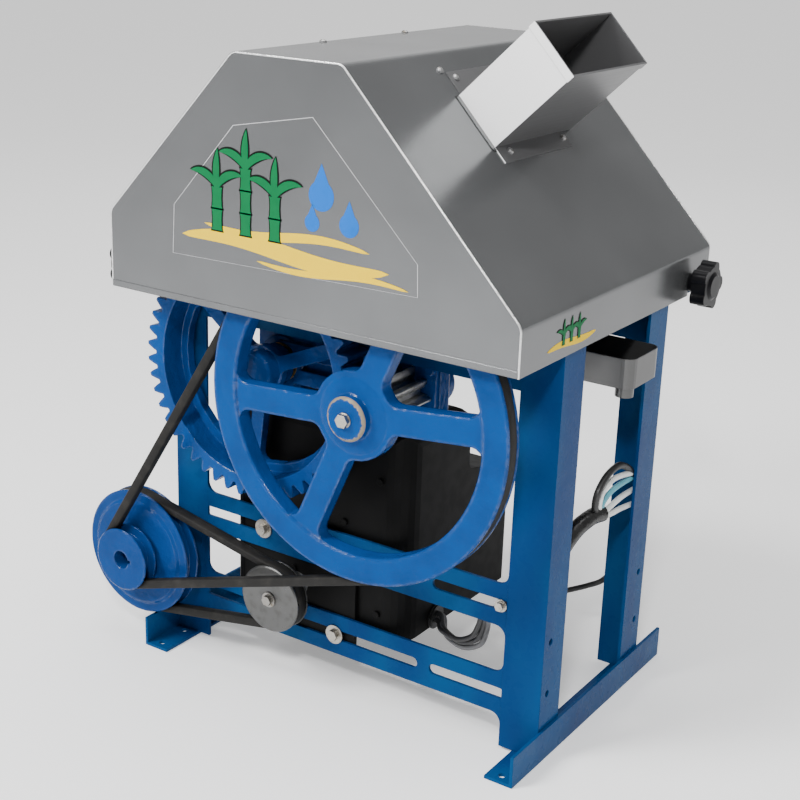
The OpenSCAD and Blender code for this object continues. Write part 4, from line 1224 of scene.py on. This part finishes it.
    def build(self) -> None:
        """Sticks the films on the front sheet and the right skirt."""
        for i, band in enumerate(self.bands):
            self.film(f"film_wave_{i}", self.wave_band(*band), FILM_YELLOW, 1.0 + 0.2 * i)
        for s, (x, joints) in enumerate(self.canes):
            self.cane(f"film_cane_{s}", (x, self.cane_foot), joints, self.cane_size)
        for d, (x, z, size) in enumerate(self.drops):
            self.drop(f"film_drop_{d}", (x, z), size)
        self.film("film_skirt_wave", self.wave_band(*self.skirt_band), FILM_YELLOW, side=True)
        for s, y in enumerate(self.skirt_canes):
            self.cane(f"film_skirt_cane_{s}", (y, self.skirt_foot), 1, self.skirt_size, True)
        self.film_edge("film_clear_edge", self.clear_film, self.edge_width)


@dataclass
class ChuteTrim:
    """Welded lip in front of the feed chute and a black strip under its edge as painted shadow, in
    millimetres.
    """

    slope_top: Flat = (54.0, 816.4)
    slope_foot: Flat = (287.5, 571.4)
    wall_y: float = -77.5
    near: float = 63.0
    far: float = 139.0
    reach: float = 6.5
    overlap: float = 0.4
    clear: float = 0.1
    sheet: float = 1.0
    # a black strip a little wider than the lip, under it: painted shadow along the lip's edge
    shadow_top: float = 0.35
    shadow_margin: float = 1.3

    def on_slope(self, u: float, y: float, w: float) -> Point:
        """Places a point on the hood's right slope.

        Args:
            u: how far down the slope it lies.
            y: its place from front to rear.
            w: how far it stands out of the slope.

        Returns:
            The point.
        """
        a, b = Vector(self.slope_top), Vector(self.slope_foot)
        down = (b - a).normalized()
        out = Vector((-down.y, down.x))
        p = a + down * u + out * w
        return (p.x, y, p.y)

    def strip(self, name: str, rim: Sequence[Flat], low: float, high: float, finish: Finish) -> None:
        """Makes a flat strip on the slope.

        Args:
            name: the piece's name.
            rim: its outline, down the slope and to the rear.
            low: its lower face over the slope.
            high: its upper face over the slope.
            finish: its finish.
        """
        count = len(rim)
        points = [self.on_slope(u, y, w) for w in (low, high) for u, y in rim]
        faces: list[tuple[int, ...]] = [tuple(range(count, 2 * count))]
        faces += [(k, (k + 1) % count, (k + 1) % count + count, k + count) for k in range(count)]
        place(mesh_piece(name, points, faces), Body.HOOD, finish)

    def rim(self, grow: float) -> list[Flat]:
        """Works out the lip's outline, round at its lower end.

        Args:
            grow: how much larger than the lip it is.

        Returns:
            Its points, down the slope and to the rear.
        """
        y, near, far = self.wall_y - self.reach - grow, self.near - grow, self.far + grow
        back = self.wall_y + self.overlap
        end = corner((self.near, y), (far, y), (far, self.wall_y), self.reach * 0.8)
        return [(near, back), (near, y), *end, (far, back)]

    def build(self) -> None:
        """Makes the lip and the black strip under it that shows round its edge as painted shadow."""
        # painted shadow: a flat black strip just wider than the lip, lying under it
        self.strip("chute_lip_shadow", self.rim(self.shadow_margin), self.clear, self.shadow_top, SHADOW_BLACK)
        self.strip("chute_lip", self.rim(0.0), self.clear, self.sheet, HOOD_STEEL)


def dress_solids() -> None:
    """Gives every solid of the model its finish."""
    for finish, names in NODE_FINISHES.items():
        for name in names:
            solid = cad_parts[name]
            solid.data.materials.clear()
            solid.data.materials.append(finish.material())
            log.info("%s is dressed in %s", name, finish.name)


BELTS = (
    Belt("flywheel_wedge_belt", "flywheel_belt", -214.0, (-308, 130, 43.5), (64, 419, 206.5)),
    Belt("motor_wedge_belt", "motor_belt", -180.0, (-308, 130, 87.0), (-82, 128, 45.0)),
)


def main() -> None:
    """Builds the studio, dresses the solids and adds the modelled pieces."""
    logging.basicConfig(level=logging.INFO, format="%(name)s: %(message)s")
    studio = Studio()
    studio.build_camera()
    Wiring().build()
    studio.build_floor()
    studio.build_lights()
    dress_solids()
    for belt in BELTS:
        belt.build()
    HoodTrim().build()
    HoodFilms().build()
    ChuteTrim().build()


if __name__ == "__main__":
    main()
